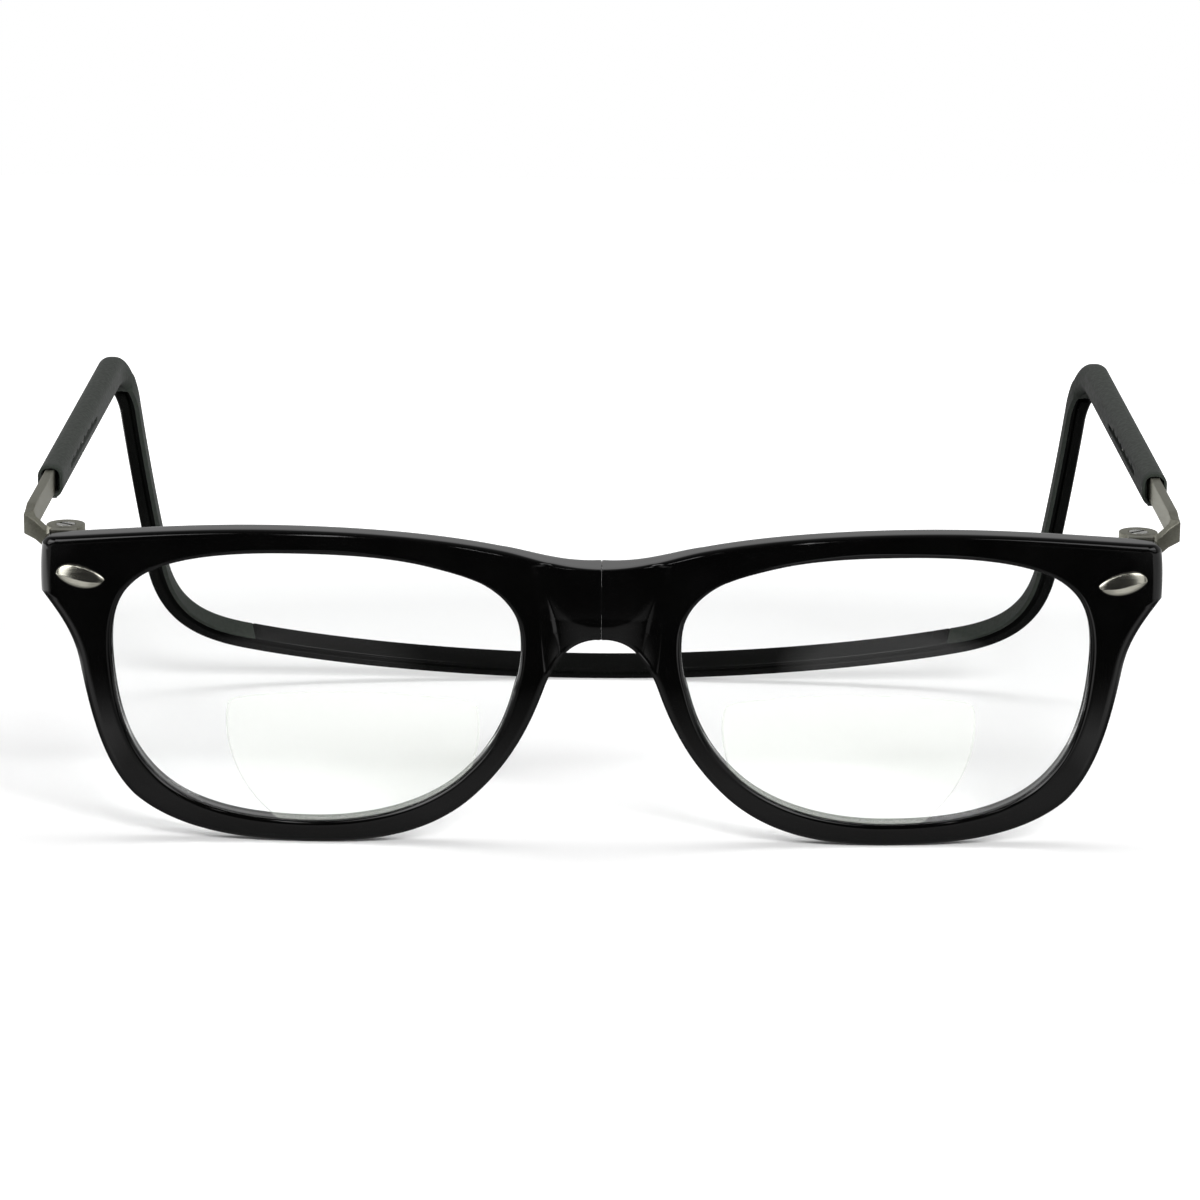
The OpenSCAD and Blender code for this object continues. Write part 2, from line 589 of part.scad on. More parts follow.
// Bracket: a plate behind the end piece with two leaves that end in round discs
module hinge_bracket(side) {
    at_rest() on_side(side) {
        difference() {
            union() {
                plate(0);
                translate([hinge_x - tongue_w / 2, plate_back - plate_t, barrel_top - 2])
                    cube([tongue_w, plate_t, 2]);
                for (z = [barrel_low, barrel_top - leaf_t]) {
                    translate([hinge_x, hinge_y, z]) cylinder(d = barrel_d, h = leaf_t);
                    translate([hinge_x - tongue_w / 2, plate_back - plate_t, z])
                        cube([tongue_w, hinge_y - plate_back + plate_t, leaf_t]);
                }
            }
            at_rivet() rivet_pins(seat_gap, 1);
            translate([hinge_x, hinge_y, barrel_low - 1])
                cylinder(d = screw_d + 2 * seat_gap, h = barrel_h + 2);
            translate([hinge_x, hinge_y, barrel_top - 0.8])
                cylinder(d = screw_head_d + 2 * run_gap, h = 2);
        }
    }
}
// Screw: a slotted cheese head let into the upper leaf, its shank down to the lower leaf
module hinge_screw(side) {
    at_rest() on_side(side) translate([hinge_x, hinge_y, 0]) difference() {
        union() {
            translate([0, 0, barrel_low]) cylinder(d = screw_d, h = barrel_h - 0.5);
            translate([0, 0, barrel_top - 0.8 + run_gap]) cylinder(d = screw_head_d, h = 0.75);
        }
        rotate([0, 0, 35]) translate([-2, -0.25, barrel_top - 0.45]) cube([4, 0.5, 1]);
    }
}
module hinge_washers(side) {
    at_rest() on_side(side) for (z = [eye_low - run_gap - washer_t, eye_low + eye_h + run_gap])
        translate([hinge_x, hinge_y, z]) difference() {
            cylinder(d = barrel_d - 0.4, h = washer_t);
            translate([0, 0, -1]) cylinder(d = screw_d + 2 * run_gap, h = 3);
        }
}

// Arm: eye, sloping leg, corner and the straight strip
module arm(side) {
    at_rest() on_side(side) difference() {
        union() {
            translate([hinge_x, hinge_y, eye_low]) cylinder(d = barrel_d, h = eye_h);
            loft([for (a = arm_stops) arm_ring(a)]);
        }
        translate([hinge_x, hinge_y, eye_low - 1]) cylinder(d = screw_d + 2 * run_gap, h = eye_h + 2);
        peg(seat_gap, 1);
    }
}
module peg(gap, spare) {
    translate([temple_x - tube_w / 2 + 0.15 - spare, peg_y, temple_z]) rotate([0, 90, 0])
        cylinder(d = peg_d + 2 * gap, h = tube_w / 2 + arm_t / 2 - 0.2 + 2 * spare, $fn = 32);
}
module detent_peg(side) {
    at_rest() on_side(side) peg(0, 0);
}

// Tube: a bar that tapers to its mouth, bends down behind the ear and opens into the channel that
// holds the band. The strip's bore, which is wider at the mouth, and the serrated slot are cut into it.
module temple_tube(side) {
    bore_w = arm_t + 2 * slide_gap;
    bore_h = arm_h + 2 * slide_gap;
    mouth = bar_section(tube_w - 2 * mouth_wall, tube_h - 2 * mouth_wall, bar_r - mouth_wall);
    at_rest() on_side(side) difference() {
        loft(tube_rings);
        translate([temple_x - bore_w / 2, tube_front - 1, temple_z - bore_h / 2])
            cube([bore_w, arm_tip + slide_reach + 1.5 - tube_front, bore_h]);
        loft([for (y = [-1, mouth_deep])
            ring_at([[temple_x, tube_front + y, temple_z], [-1, 0, 0], [0, 0, 1]], mouth)]);
        translate([temple_x, 0, temple_z]) rotate([0, -90, 0]) linear_extrude(tube_w) slot_outline();
    }
}
// Slot with notches along its upper edge, drawn with height first and distance second
module slot_outline() {
    count = floor((slot_l - notch_pitch / 2) / notch_pitch);
    edge = slot_h / 2;
    polygon(concat(
        [[-edge, slot_front + slot_l], [-edge, slot_front], [edge, slot_front]],
        [for (i = [0 : count - 1]) let (y = slot_front + (i + 0.4) * notch_pitch)
            each [[edge, y], [edge + notch_d, y + notch_pitch * 0.35], [edge, y + notch_pitch * 0.45]]],
        [[edge, slot_front + slot_l]]
    ));
}

module neck_band() {
    at_rest() loft(band_rings);
}

echo(lean = rest_lean, low = floor_z, middle = (front_y + rear_y) / 2, hinge = [hinge_x, hinge_y],
     barrel = [barrel_low, barrel_top], travel = slide_reach, peg = peg_y);

front_black = [0.03, 0.03, 0.035];
pewter = [0.45, 0.46, 0.42];
color(front_black) half_front("right");  // half_front_right
color(front_black) half_front("left");  // half_front_left
color([0.85, 0.9, 0.92, 0.35]) bifocal_lens("right");  // bifocal_lens_right
color([0.85, 0.9, 0.92, 0.35]) bifocal_lens("left");  // bifocal_lens_left
color("silver") bridge_magnet("right");  // bridge_magnet_right
color("silver") bridge_magnet("left");  // bridge_magnet_left
color([0.75, 0.73, 0.68]) almond_rivet("right");  // almond_rivet_right
color([0.75, 0.73, 0.68]) almond_rivet("left");  // almond_rivet_left
color(pewter) hinge_bracket("right");  // hinge_bracket_right
color(pewter) hinge_bracket("left");  // hinge_bracket_left
color("silver") hinge_screw("right");  // hinge_screw_right
color("silver") hinge_screw("left");  // hinge_screw_left
color("ivory") hinge_washers("right");  // hinge_washers_right
color("ivory") hinge_washers("left");  // hinge_washers_left
color(pewter) arm("right");  // arm_right
color(pewter) arm("left");  // arm_left
color("silver") detent_peg("right");  // detent_peg_right
color("silver") detent_peg("left");  // detent_peg_left
color([0.14, 0.15, 0.14]) temple_tube("right");  // temple_tube_right
color([0.14, 0.15, 0.14]) temple_tube("left");  // temple_tube_left
color([0.02, 0.02, 0.02]) neck_band();
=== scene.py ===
"""Looks of the bifocal glasses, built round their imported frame.

Shapes are drawn in millimetres as the glasses are worn: X to the wearer's left, Y from the front to
the back of the head, Z up from the bottom of the rims. RestPose turns them to where the packed
glasses stand. The left half is drawn and the right one is its mirror image.
"""

import json
import logging
import math
from collections.abc import Callable
from dataclasses import dataclass, field
from enum import Enum

import bmesh
import bpy
import numpy as np
from mathutils import Matrix, Vector


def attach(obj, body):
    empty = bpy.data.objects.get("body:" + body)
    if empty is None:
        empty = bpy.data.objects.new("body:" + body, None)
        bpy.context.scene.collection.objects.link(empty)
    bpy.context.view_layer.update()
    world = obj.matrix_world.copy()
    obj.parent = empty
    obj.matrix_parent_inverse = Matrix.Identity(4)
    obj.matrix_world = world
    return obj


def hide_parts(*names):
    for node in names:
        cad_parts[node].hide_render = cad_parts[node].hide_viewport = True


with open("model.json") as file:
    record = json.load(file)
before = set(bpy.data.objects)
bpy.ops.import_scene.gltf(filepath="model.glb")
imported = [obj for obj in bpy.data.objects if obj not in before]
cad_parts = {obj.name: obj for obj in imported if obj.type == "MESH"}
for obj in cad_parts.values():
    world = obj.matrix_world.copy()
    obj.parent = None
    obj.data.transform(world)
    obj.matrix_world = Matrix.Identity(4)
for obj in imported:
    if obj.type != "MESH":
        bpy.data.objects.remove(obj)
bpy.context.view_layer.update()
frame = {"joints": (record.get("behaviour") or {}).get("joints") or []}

MM = 0.001
LOG = logging.getLogger("glasses")
Socket = bpy.types.NodeSocket
Value = Socket | float | tuple
Surface = Callable[[float, float, float], float]


class Side(Enum):
    """The wearer's two sides, with the sign of their X."""

    LEFT = 1
    RIGHT = -1

    @property
    def tag(self) -> str:
        """Ending of this side's names."""
        return self.name.lower()


class Slot(Enum):
    """The record's material slots."""

    FRONT = "front_black"
    LENS = "lens_clear"
    MAGNET = "magnet_nickel"
    RIVET = "rivet_satin"
    PEWTER = "metal_pewter"
    SCREW = "screw_bright"
    WASHER = "washer_nylon"
    TUBE = "tube_soft_touch"
    BAND = "band_black"


# Curves and shapes


def unit(v: np.ndarray) -> np.ndarray:
    """Returns v at length one."""
    return v / np.linalg.norm(v)


def cubic(handles: np.ndarray, t: float) -> np.ndarray:
    """Point of a cubic curve.

    Args:
        handles: the curve's two ends with its two handles between them.
        t: share of the way along it.

    Returns:
        The point at that share.
    """
    c = np.asarray(handles, float)
    return (1 - t) ** 3 * c[0] + 3 * (1 - t) ** 2 * t * c[1] + 3 * (1 - t) * t * t * c[2] + t**3 * c[3]


def slope(handles: np.ndarray, t: float) -> np.ndarray:
    """Direction of a cubic curve at a share of its way, not at length one."""
    c = np.asarray(handles, float)
    return 3 * (1 - t) ** 2 * (c[1] - c[0]) + 6 * (1 - t) * t * (c[2] - c[1]) + 3 * t * t * (c[3] - c[2])


def smooth(t: float) -> float:
    """Smooth step from 0 to 1."""
    t = min(1.0, max(0.0, t))
    return t * t * (3 - 2 * t)


def arc(centre: tuple[float, float], radius: float, start: float, end: float, steps: int) -> list[list[float]]:
    """Points of an arc in a plane, its angles in degrees."""
    angles = np.radians(np.linspace(start, end, steps + 1))
    return [[centre[0] + radius * math.cos(a), centre[1] + radius * math.sin(a)] for a in angles]


def rounded_box(w: float, h: float, r: float, steps: int) -> list[list[float]]:
    """Outline of a rectangle with round corners, from its upper right corner on."""
    x, y = w / 2 - r, h / 2 - r
    corners = [((x, y), 0), ((-x, y), 90), ((-x, -y), 180), ((x, -y), 270)]
    return [p for centre, start in corners for p in arc(centre, r, start, start + 90, steps)]


def circle(radius: float, steps: int) -> list[tuple[float, float]]:
    """Points of a whole circle round the origin, each one once."""
    return [(radius * math.cos(q), radius * math.sin(q)) for q in np.linspace(0, 2 * math.pi, steps + 1)[:-1]]


def rounded(points: list, radii: list, steps: int = 4) -> list:
    """Rounds the corners of an outline.

    Args:
        points: the outline's corners.
        radii: how much to round each of them.
        steps: number of facets of a rounded corner.

    Returns:
        The rounded outline, steps + 1 points for each corner.
    """
    result = []
    corners = np.array(points, float)
    for k, corner in enumerate(corners):
        before, after = corners[k - 1] - corner, corners[(k + 1) % len(corners)] - corner
        reach = min(radii[k], 0.48 * np.linalg.norm(before), 0.48 * np.linalg.norm(after))
        start, end = corner + unit(before) * reach, corner + unit(after) * reach
        for t in np.linspace(0, 1, steps + 1):
            result.append((1 - t) ** 2 * start + 2 * (1 - t) * t * corner + t * t * end)
    return result


@dataclass
class Shell:
    """A mesh in the making: points in millimetres, as worn, and faces between them."""

    points: list = field(default_factory=list)
    faces: list = field(default_factory=list)

    def add(self, points: list, faces: list) -> None:
        """Adds one closed body."""
        first = len(self.points)
        self.points.extend([list(map(float, p)) for p in points])
        self.faces.extend([[first + i for i in f] for f in faces])

    @classmethod
    def through(cls, rings: list, closed: bool = False, poles: tuple = ()) -> "Shell":
        """Returns a new shell with one body through rings."""
        shell = cls()
        shell.loft(rings, closed, poles)
        return shell

    def loft(self, rings: list, closed: bool = False, poles: tuple = ()) -> None:
        """Adds a body through rings of equal length, closed on itself, capped or drawn to its poles.

        Args:
            rings: lists of points, one list for each ring.
            closed: whether the last ring joins the first.
            poles: point before the first ring and point past the last one.
        """
        n, count = len(rings[0]), len(rings)
        faces = [[i * n + k, i * n + (k + 1) % n, j * n + (k + 1) % n, j * n + k]
                 for i, j in zip(range(count), [*range(1, count)] + [0] * closed) for k in range(n)]
        last = (count - 1) * n
        if poles:
            faces += [[pole, ring + (k + 1) % n, ring + k] for ring, pole in ((0, count * n), (last, count * n + 1))
                      for k in range(n)]
        elif not closed:
            faces += [list(range(n - 1, -1, -1)), list(range(last, last + n))]
        self.add([p for r in rings for p in r] + list(poles), faces)

    def turned(self, profile: list, centre: tuple[float, float], steps: int = 72) -> None:
        """Adds a body turned about an upright axis.

        Args:
            profile: closed outline as pairs of radius and height.
            centre: the axis's X and Y.
            steps: number of facets round it.
        """
        ways = circle(1, steps)
        self.loft([[(centre[0] + r * x, centre[1] + r * y, z) for r, z in profile] for x, y in ways], closed=True)

    def box(self, low: tuple, high: tuple) -> None:
        """Adds a box between two corners."""
        x0, y0, z0 = low
        x1, y1, z1 = high
        ring = [(x0, y0), (x1, y0), (x1, y1), (x0, y1)]
        self.loft([[(x, y, z) for x, y in ring] for z in (z0, z1)])


class RestPose:
    """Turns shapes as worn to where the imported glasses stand, which a hinge of the frame gives."""

    def __init__(self, joints: list, hinge: np.ndarray) -> None:
        """Reads the lean and the place of the left hinge.

        Args:
            joints: the frame's joints.
            hinge: the middle of that hinge as worn, in millimetres.
        """
        joint = next(j for j in joints if j["name"] == "front_hinge_left")
        lean = math.atan2(-joint["axis"][1], joint["axis"][2])
        self.turn = np.array(Matrix.Rotation(lean, 3, "X"))
        self.shift = np.array(joint["pos_m"]) / MM - self.turn @ hinge

    def place(self, points: list, side: Side) -> np.ndarray:
        """Returns the points of one side in the frame's metres."""
        p = np.array(points, float) * [side.value, 1, 1]
        return (p @ self.turn.T + self.shift) * MM

    def piece(self, name: str, shell: Shell, side: Side, material: bpy.types.Material,
              crease: float = 32, bevel: float = 0) -> bpy.types.Object:
        """Makes one piece out of a shell.

        Args:
            name: the piece's name.
            shell: its points and faces.
            side: the side it is on.
            material: its finish.
            crease: angle in degrees past which an edge stays sharp.
            bevel: width in millimetres of the bevel on its sharp edges.

        Returns:
            The piece, at the origin, with its place in its mesh.
        """
        mesh = bpy.data.meshes.new(name)
        mesh.from_pydata(self.place(shell.points, side).tolist(), [], shell.faces)
        mesh.validate()
        work = bmesh.new()
        work.from_mesh(mesh)
        bmesh.ops.remove_doubles(work, verts=work.verts, dist=1e-7)
        bmesh.ops.recalc_face_normals(work, faces=work.faces)
        if bevel:
            sharp = [e for e in work.edges if len(e.link_faces) == 2 and e.calc_face_angle() > math.radians(crease)]
            bmesh.ops.bevel(work, geom=sharp, offset=bevel * MM, segments=3, profile=0.5, affect="EDGES",
                            clamp_overlap=True)
        work.to_mesh(mesh)
        work.free()
        mesh.shade_smooth()
        mesh.set_sharp_from_angle(angle=math.radians(crease))
        mesh.materials.append(material)
        piece = bpy.data.objects.new(name, mesh)
        bpy.context.scene.collection.objects.link(piece)
        return piece


def settle(piece: bpy.types.Object, body: str, slot: Slot, *nodes: str) -> None:
    """Lets a finished piece ride on its body and hides the imported parts that it stands for."""
    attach(piece, body)
    if nodes:
        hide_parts(*nodes)
    LOG.info("%s rides on %s: %d faces", piece.name, body, len(piece.data.polygons))


# Finishes


class Graph:
    """A node tree, with the steps that finishes and studio share."""

    def __init__(self, tree: bpy.types.NodeTree) -> None:
        """Takes hold of a tree."""
        self.nodes, self.links = tree.nodes, tree.links

    def put(self, value: Value, socket: Socket) -> None:
        """Links another socket to a socket, or sets it to a constant."""
        if isinstance(value, Socket):
            self.links.new(value, socket)
        else:
            socket.default_value = value

    def add(self, kind: str, **values: Value) -> bpy.types.Node:
        """Adds a node.

        Args:
            kind: its type.
            values: sockets or constants for its inputs, named with underscores for spaces.

        Returns:
            The node.
        """
        node = self.nodes.new(kind)
        for name, value in values.items():
            self.put(value, node.inputs[name.replace("_", " ")])
        return node

    def math(self, operation: str, *values: Value, clamp: bool = False, kind: str = "ShaderNodeMath") -> Socket:
        """Result of a math node over sockets and constants."""
        node = self.nodes.new(kind)
        node.operation = operation
        if clamp:
            node.use_clamp = True
        for socket, value in zip(node.inputs, values):
            self.put(value, socket)
        return node.outputs["Value"]

    def measure(self, operation: str, *vectors: Value) -> Socket:
        """Number that a vector math node gives."""
        return self.math(operation, *vectors, kind="ShaderNodeVectorMath")

    def levels(self, value: Socket, low: float, high: float, start: float = 0.3, end: float = 0.7) -> Socket:
        """Number between two numbers, as a value goes from start to end."""
        node = self.add("ShaderNodeMapRange", Value=value, From_Min=start, From_Max=end, To_Min=low, To_Max=high)
        return node.outputs["Result"]

    def blend(self, share: Socket, first: Socket, second: Socket) -> Socket:
        """Shader between two shaders."""
        node = self.add("ShaderNodeMixShader", Fac=share)
        self.put(first, node.inputs[1])
        self.put(second, node.inputs[2])
        return node.outputs["Shader"]


class Finish(Graph):
    """A material with its nodes, and the steps that its finishes share."""

    def __init__(self, name: str, **values: Value) -> None:
        """Starts a material.

        Args:
            name: the material's name.
            values: constants for the shader's sockets, named with underscores for spaces.
        """
        self.material = bpy.data.materials.new(name)
        self.material.use_nodes = True
        super().__init__(self.material.node_tree)
        self.shader = self.nodes["Principled BSDF"]
        self.where = self.nodes.new("ShaderNodeTexCoord").outputs["Object"]
        for socket, value in values.items():
            self.feed(value, socket.replace("_", " "))

    def feed(self, value: Value, name: str) -> None:
        """Puts a value or another node's output on a socket of the shader."""
        self.put(value, self.shader.inputs[name])

    def mapped(self, scale: tuple[float, float, float]) -> Socket:
        """Object coordinates, stretched."""
        return self.add("ShaderNodeMapping", Vector=self.where, Scale=scale).outputs["Vector"]

    def noise(self, vector: Socket, scale: float, detail: float = 3, rough: float = 0.5) -> Socket:
        """A noise texture's value."""
        node = self.add("ShaderNodeTexNoise", Vector=vector, Scale=scale, Detail=detail, Roughness=rough)
        return node.outputs["Fac"]

    def ramp(self, value: Socket, low: tuple, high: tuple) -> Socket:
        """Colour between two colours, as a value goes from 0.3 to 0.7."""
        node = self.add("ShaderNodeValToRGB", Fac=value)
        for end, position, colour in zip(node.color_ramp.elements, (0.3, 0.7), (low, high)):
            end.position, end.color = position, (*colour, 1)
        return node.outputs["Color"]

    def bump(self, height: Socket, strength: float, distance: float) -> None:
        """Bumps the surface by a height, over any bump it has."""
        node = self.add("ShaderNodeBump", Height=height, Strength=strength, Distance=distance)
        under = self.shader.inputs["Normal"].links
        if under:
            self.links.new(under[0].from_socket, node.inputs["Normal"])
        self.feed(node.outputs["Normal"], "Normal")


@dataclass(frozen=True)
class Lacquer:
    """Polished black plastic, with the faint ripple of a polished surface."""

    name: str
    dark: tuple[float, float, float]
    light: tuple[float, float, float]
    rough: float
    ripple: float
    stretch: tuple[float, float, float] = (1, 1, 1)

    def build(self) -> bpy.types.Material:
        """Makes the material."""
        f = Finish(self.name, IOR=1.49)
        where = f.mapped(self.stretch)
        f.feed(f.ramp(f.noise(where, 160, 4), self.dark, self.light), "Base Color")
        f.feed(f.levels(f.noise(where, 900), self.rough * 0.7, self.rough * 1.5), "Roughness")
        f.bump(f.noise(where, 110, 2), self.ripple, 0.0004)
        f.bump(f.noise(f.where, 2600, 2), 0.04, 0.00002)
        return f.material


@dataclass(frozen=True)
class SoftTouch:
    """Matte rubbery coating with a fine grain and a faint random mottle."""

    name: str
    dark: tuple[float, float, float]
    light: tuple[float, float, float]

    def build(self) -> bpy.types.Material:
        """Makes the material."""
        f = Finish(self.name, IOR=1.45, Sheen_Weight=0.03, Sheen_Roughness=0.5, Specular_IOR_Level=0.22)
        f.feed(f.ramp(f.noise(f.where, 2600, 5, 0.6), self.dark, self.light), "Base Color")
        f.feed(f.levels(f.noise(f.where, 1900, 3), 0.62, 0.8), "Roughness")
        f.bump(f.noise(f.where, 9000, 2), 0.25, 0.00003)
        f.bump(f.noise(f.where, 3200, 3), 0.12, 0.00003)
        return f.material


@dataclass(frozen=True)
class SatinMetal:
    """Brushed or blasted metal, with streaks along one direction and a fine grain."""

    name: str
    dark: tuple[float, float, float]
    light: tuple[float, float, float]
    rough: float
    streak: tuple[float, float, float]
    grain: float = 0.2

    def build(self) -> bpy.types.Material:
        """Makes the material."""
        f = Finish(self.name, Metallic=1.0)
        lines = f.noise(f.mapped(self.streak), 4200, 4, 0.6)
        f.feed(f.ramp(lines, self.dark, self.light), "Base Color")
        f.feed(f.levels(lines, self.rough * 0.85, self.rough * 1.2), "Roughness")
        f.bump(lines, self.grain, 0.00002)
        f.bump(f.noise(f.where, 5200, 2), self.grain * 0.5, 0.00001)
        return f.material


@dataclass(frozen=True)
class ClearLens:
    """Clear lens with a hard coat. It throws only a faint shadow, as a clear lens does."""

    name: str = "lens_clear_plastic"

    def build(self) -> bpy.types.Material:
        """Makes the material."""
        f = Finish(self.name, Base_Color=(0.962, 0.968, 0.965, 1), Transmission_Weight=1.0, IOR=1.5,
                   Specular_IOR_Level=0.05)
        f.feed(f.levels(f.noise(f.where, 300, 2), 0.0, 0.012), "Roughness")
        clear = f.add("ShaderNodeBsdfTransparent", Color=(0.97, 0.975, 0.975, 1)).outputs["BSDF"]
        shadow = f.add("ShaderNodeLightPath").outputs["Is Shadow Ray"]
        f.put(f.blend(shadow, f.shader.outputs["BSDF"], clear), f.nodes["Material Output"].inputs["Surface"])
        return f.material


@dataclass(frozen=True)
class ReadingWindow:
    """Moulded reading segment: nearly clear, a little greyer, with painted shade as a fine darker line round its ledge.
    """

    name: str = "reading_segment_clear"
    veil: float = 0.13
    # darkness of the painted shade line round the segment's ledge
    line: float = 0.26

    def build(self) -> bpy.types.Material:
        """Makes the material."""
        f = Finish(self.name, Base_Color=(0.5, 0.53, 0.48, 1), IOR=1.5, Specular_IOR_Level=0.2)
        uv = f.add("ShaderNodeUVMap")
        uv.uv_map = "UVMap"
        out = f.add("ShaderNodeSeparateXYZ", Vector=uv.outputs["UV"]).outputs["X"]
        # painted shade: the alpha rises from the veil to the darker line at the segment's ledge
        f.feed(f.levels(out, self.veil, self.line, 0.982, 0.992), "Alpha")
        f.feed(f.levels(f.noise(f.where, 600, 2), 0.06, 0.12), "Roughness")
        return f.material


@dataclass(frozen=True)
class Moulded:
    """Plain matte plastic, a little mottled."""

    name: str
    dark: tuple[float, float, float]
    light: tuple[float, float, float]

    def build(self) -> bpy.types.Material:
        """Makes the material."""
        f = Finish(self.name)
        f.feed(f.ramp(f.noise(f.where, 900, 4), self.dark, self.light), "Base Color")
        f.feed(f.levels(f.noise(f.where, 2000, 2), 0.4, 0.55), "Roughness")
        f.bump(f.noise(f.where, 6000, 2), 0.2, 0.00002)
        return f.material


class Finishes:
    """All the finishes of the glasses."""

    def __init__(self) -> None:
        """Makes every material once."""
        self.front = Lacquer("front_polished_black", (0.0003,) * 3, (0.0008,) * 3, 0.07, 0.08).build()
        self.band = Lacquer("band_polished_black", (0.0006, 0.0007, 0.0006), (0.0018, 0.002, 0.0018), 0.13, 0.35,
                            (0.25, 1, 1)).build()
        self.tube = SoftTouch("tube_soft_touch_grey", (0.0145, 0.0175, 0.0145), (0.0195, 0.0232, 0.0195)).build()
        self.pewter = SatinMetal("arm_satin_pewter", (0.29, 0.285, 0.235), (0.4, 0.395, 0.33), 0.5,
                                 (1, 0.08, 1)).build()
        self.rivet = SatinMetal("rivet_satin_silver", (0.66, 0.645, 0.55), (0.8, 0.785, 0.68), 0.2,
                                (0.1, 1, 1), 0.1).build()
        self.screw = SatinMetal("screw_turned_steel", (0.42, 0.42, 0.4), (0.6, 0.6, 0.57), 0.26, (1, 1, 1)).build()
        self.magnet = SatinMetal("magnet_nickel_plate", (0.5, 0.49, 0.46), (0.68, 0.66, 0.62), 0.14,
                                 (1, 1, 1), 0.06).build()
        self.washer = Moulded("washer_natural_nylon", (0.6, 0.58, 0.52), (0.74, 0.72, 0.66)).build()
        self.lens = ClearLens().build()
        self.segment = ReadingWindow().build()


# Sizes and pieces


@dataclass(frozen=True)
class FrontSizes:
    """Sizes of the half front, in millimetres."""

    rim_t: float = 4.2
    rim_w: float = 2.9
    bridge_t: float = 5.6
    half_w: float = 69.1
    end_top: float = 38.2
    radius: float = 650
    sag_z: float = 20
    edge_r: float = 0.9
    seam_r: float = 0.05
    lip_r: float = 0.7
    end_r: float = 1.35
    dip: float = 0.9
    fall: float = 0.25
    bow_z: float = 28.1
    bow_rise: float = 0.0206
    bow_power: float = 2.82
    bow_soft: float = 0.12
    dip_least: float = 0.35
    dip_z: float = 29
    dip_taper: float = 0.115
    ridge_top_x: float = 8.7
    ridge_top_z: float = 38
    ridge_lean: float = 0.11
    ridge_slope: float = 2.2
    ridge_bow: float = 1.02
    fall_run: float = 5.5
    pad_z: float = 20.6
    pad_fade: float = 1.2
    pad_h: float = 1.7
    seam: float = 0.002
    seam_top: float = 35.5
    arch_z: float = 26.3
    least_across: float = 0.3
    notch: float = 0.4
    end_h: float = 6.8
    tongue_t: float = 1.0

    @property
    def end_low(self) -> float:
        """Height of the end piece's lower corner."""
        return self.end_top - self.end_h

    @property
    def tongue_back(self) -> float:
        """Depth of the lens's back behind the front's face."""
        return (self.rim_t + self.tongue_t) / 2

    def sag(self, x: float, z: float) -> float:
        """How far the front's ball falls back at a place."""
        return self.radius - math.sqrt(self.radius**2 - x * x - (z - self.sag_z) ** 2)


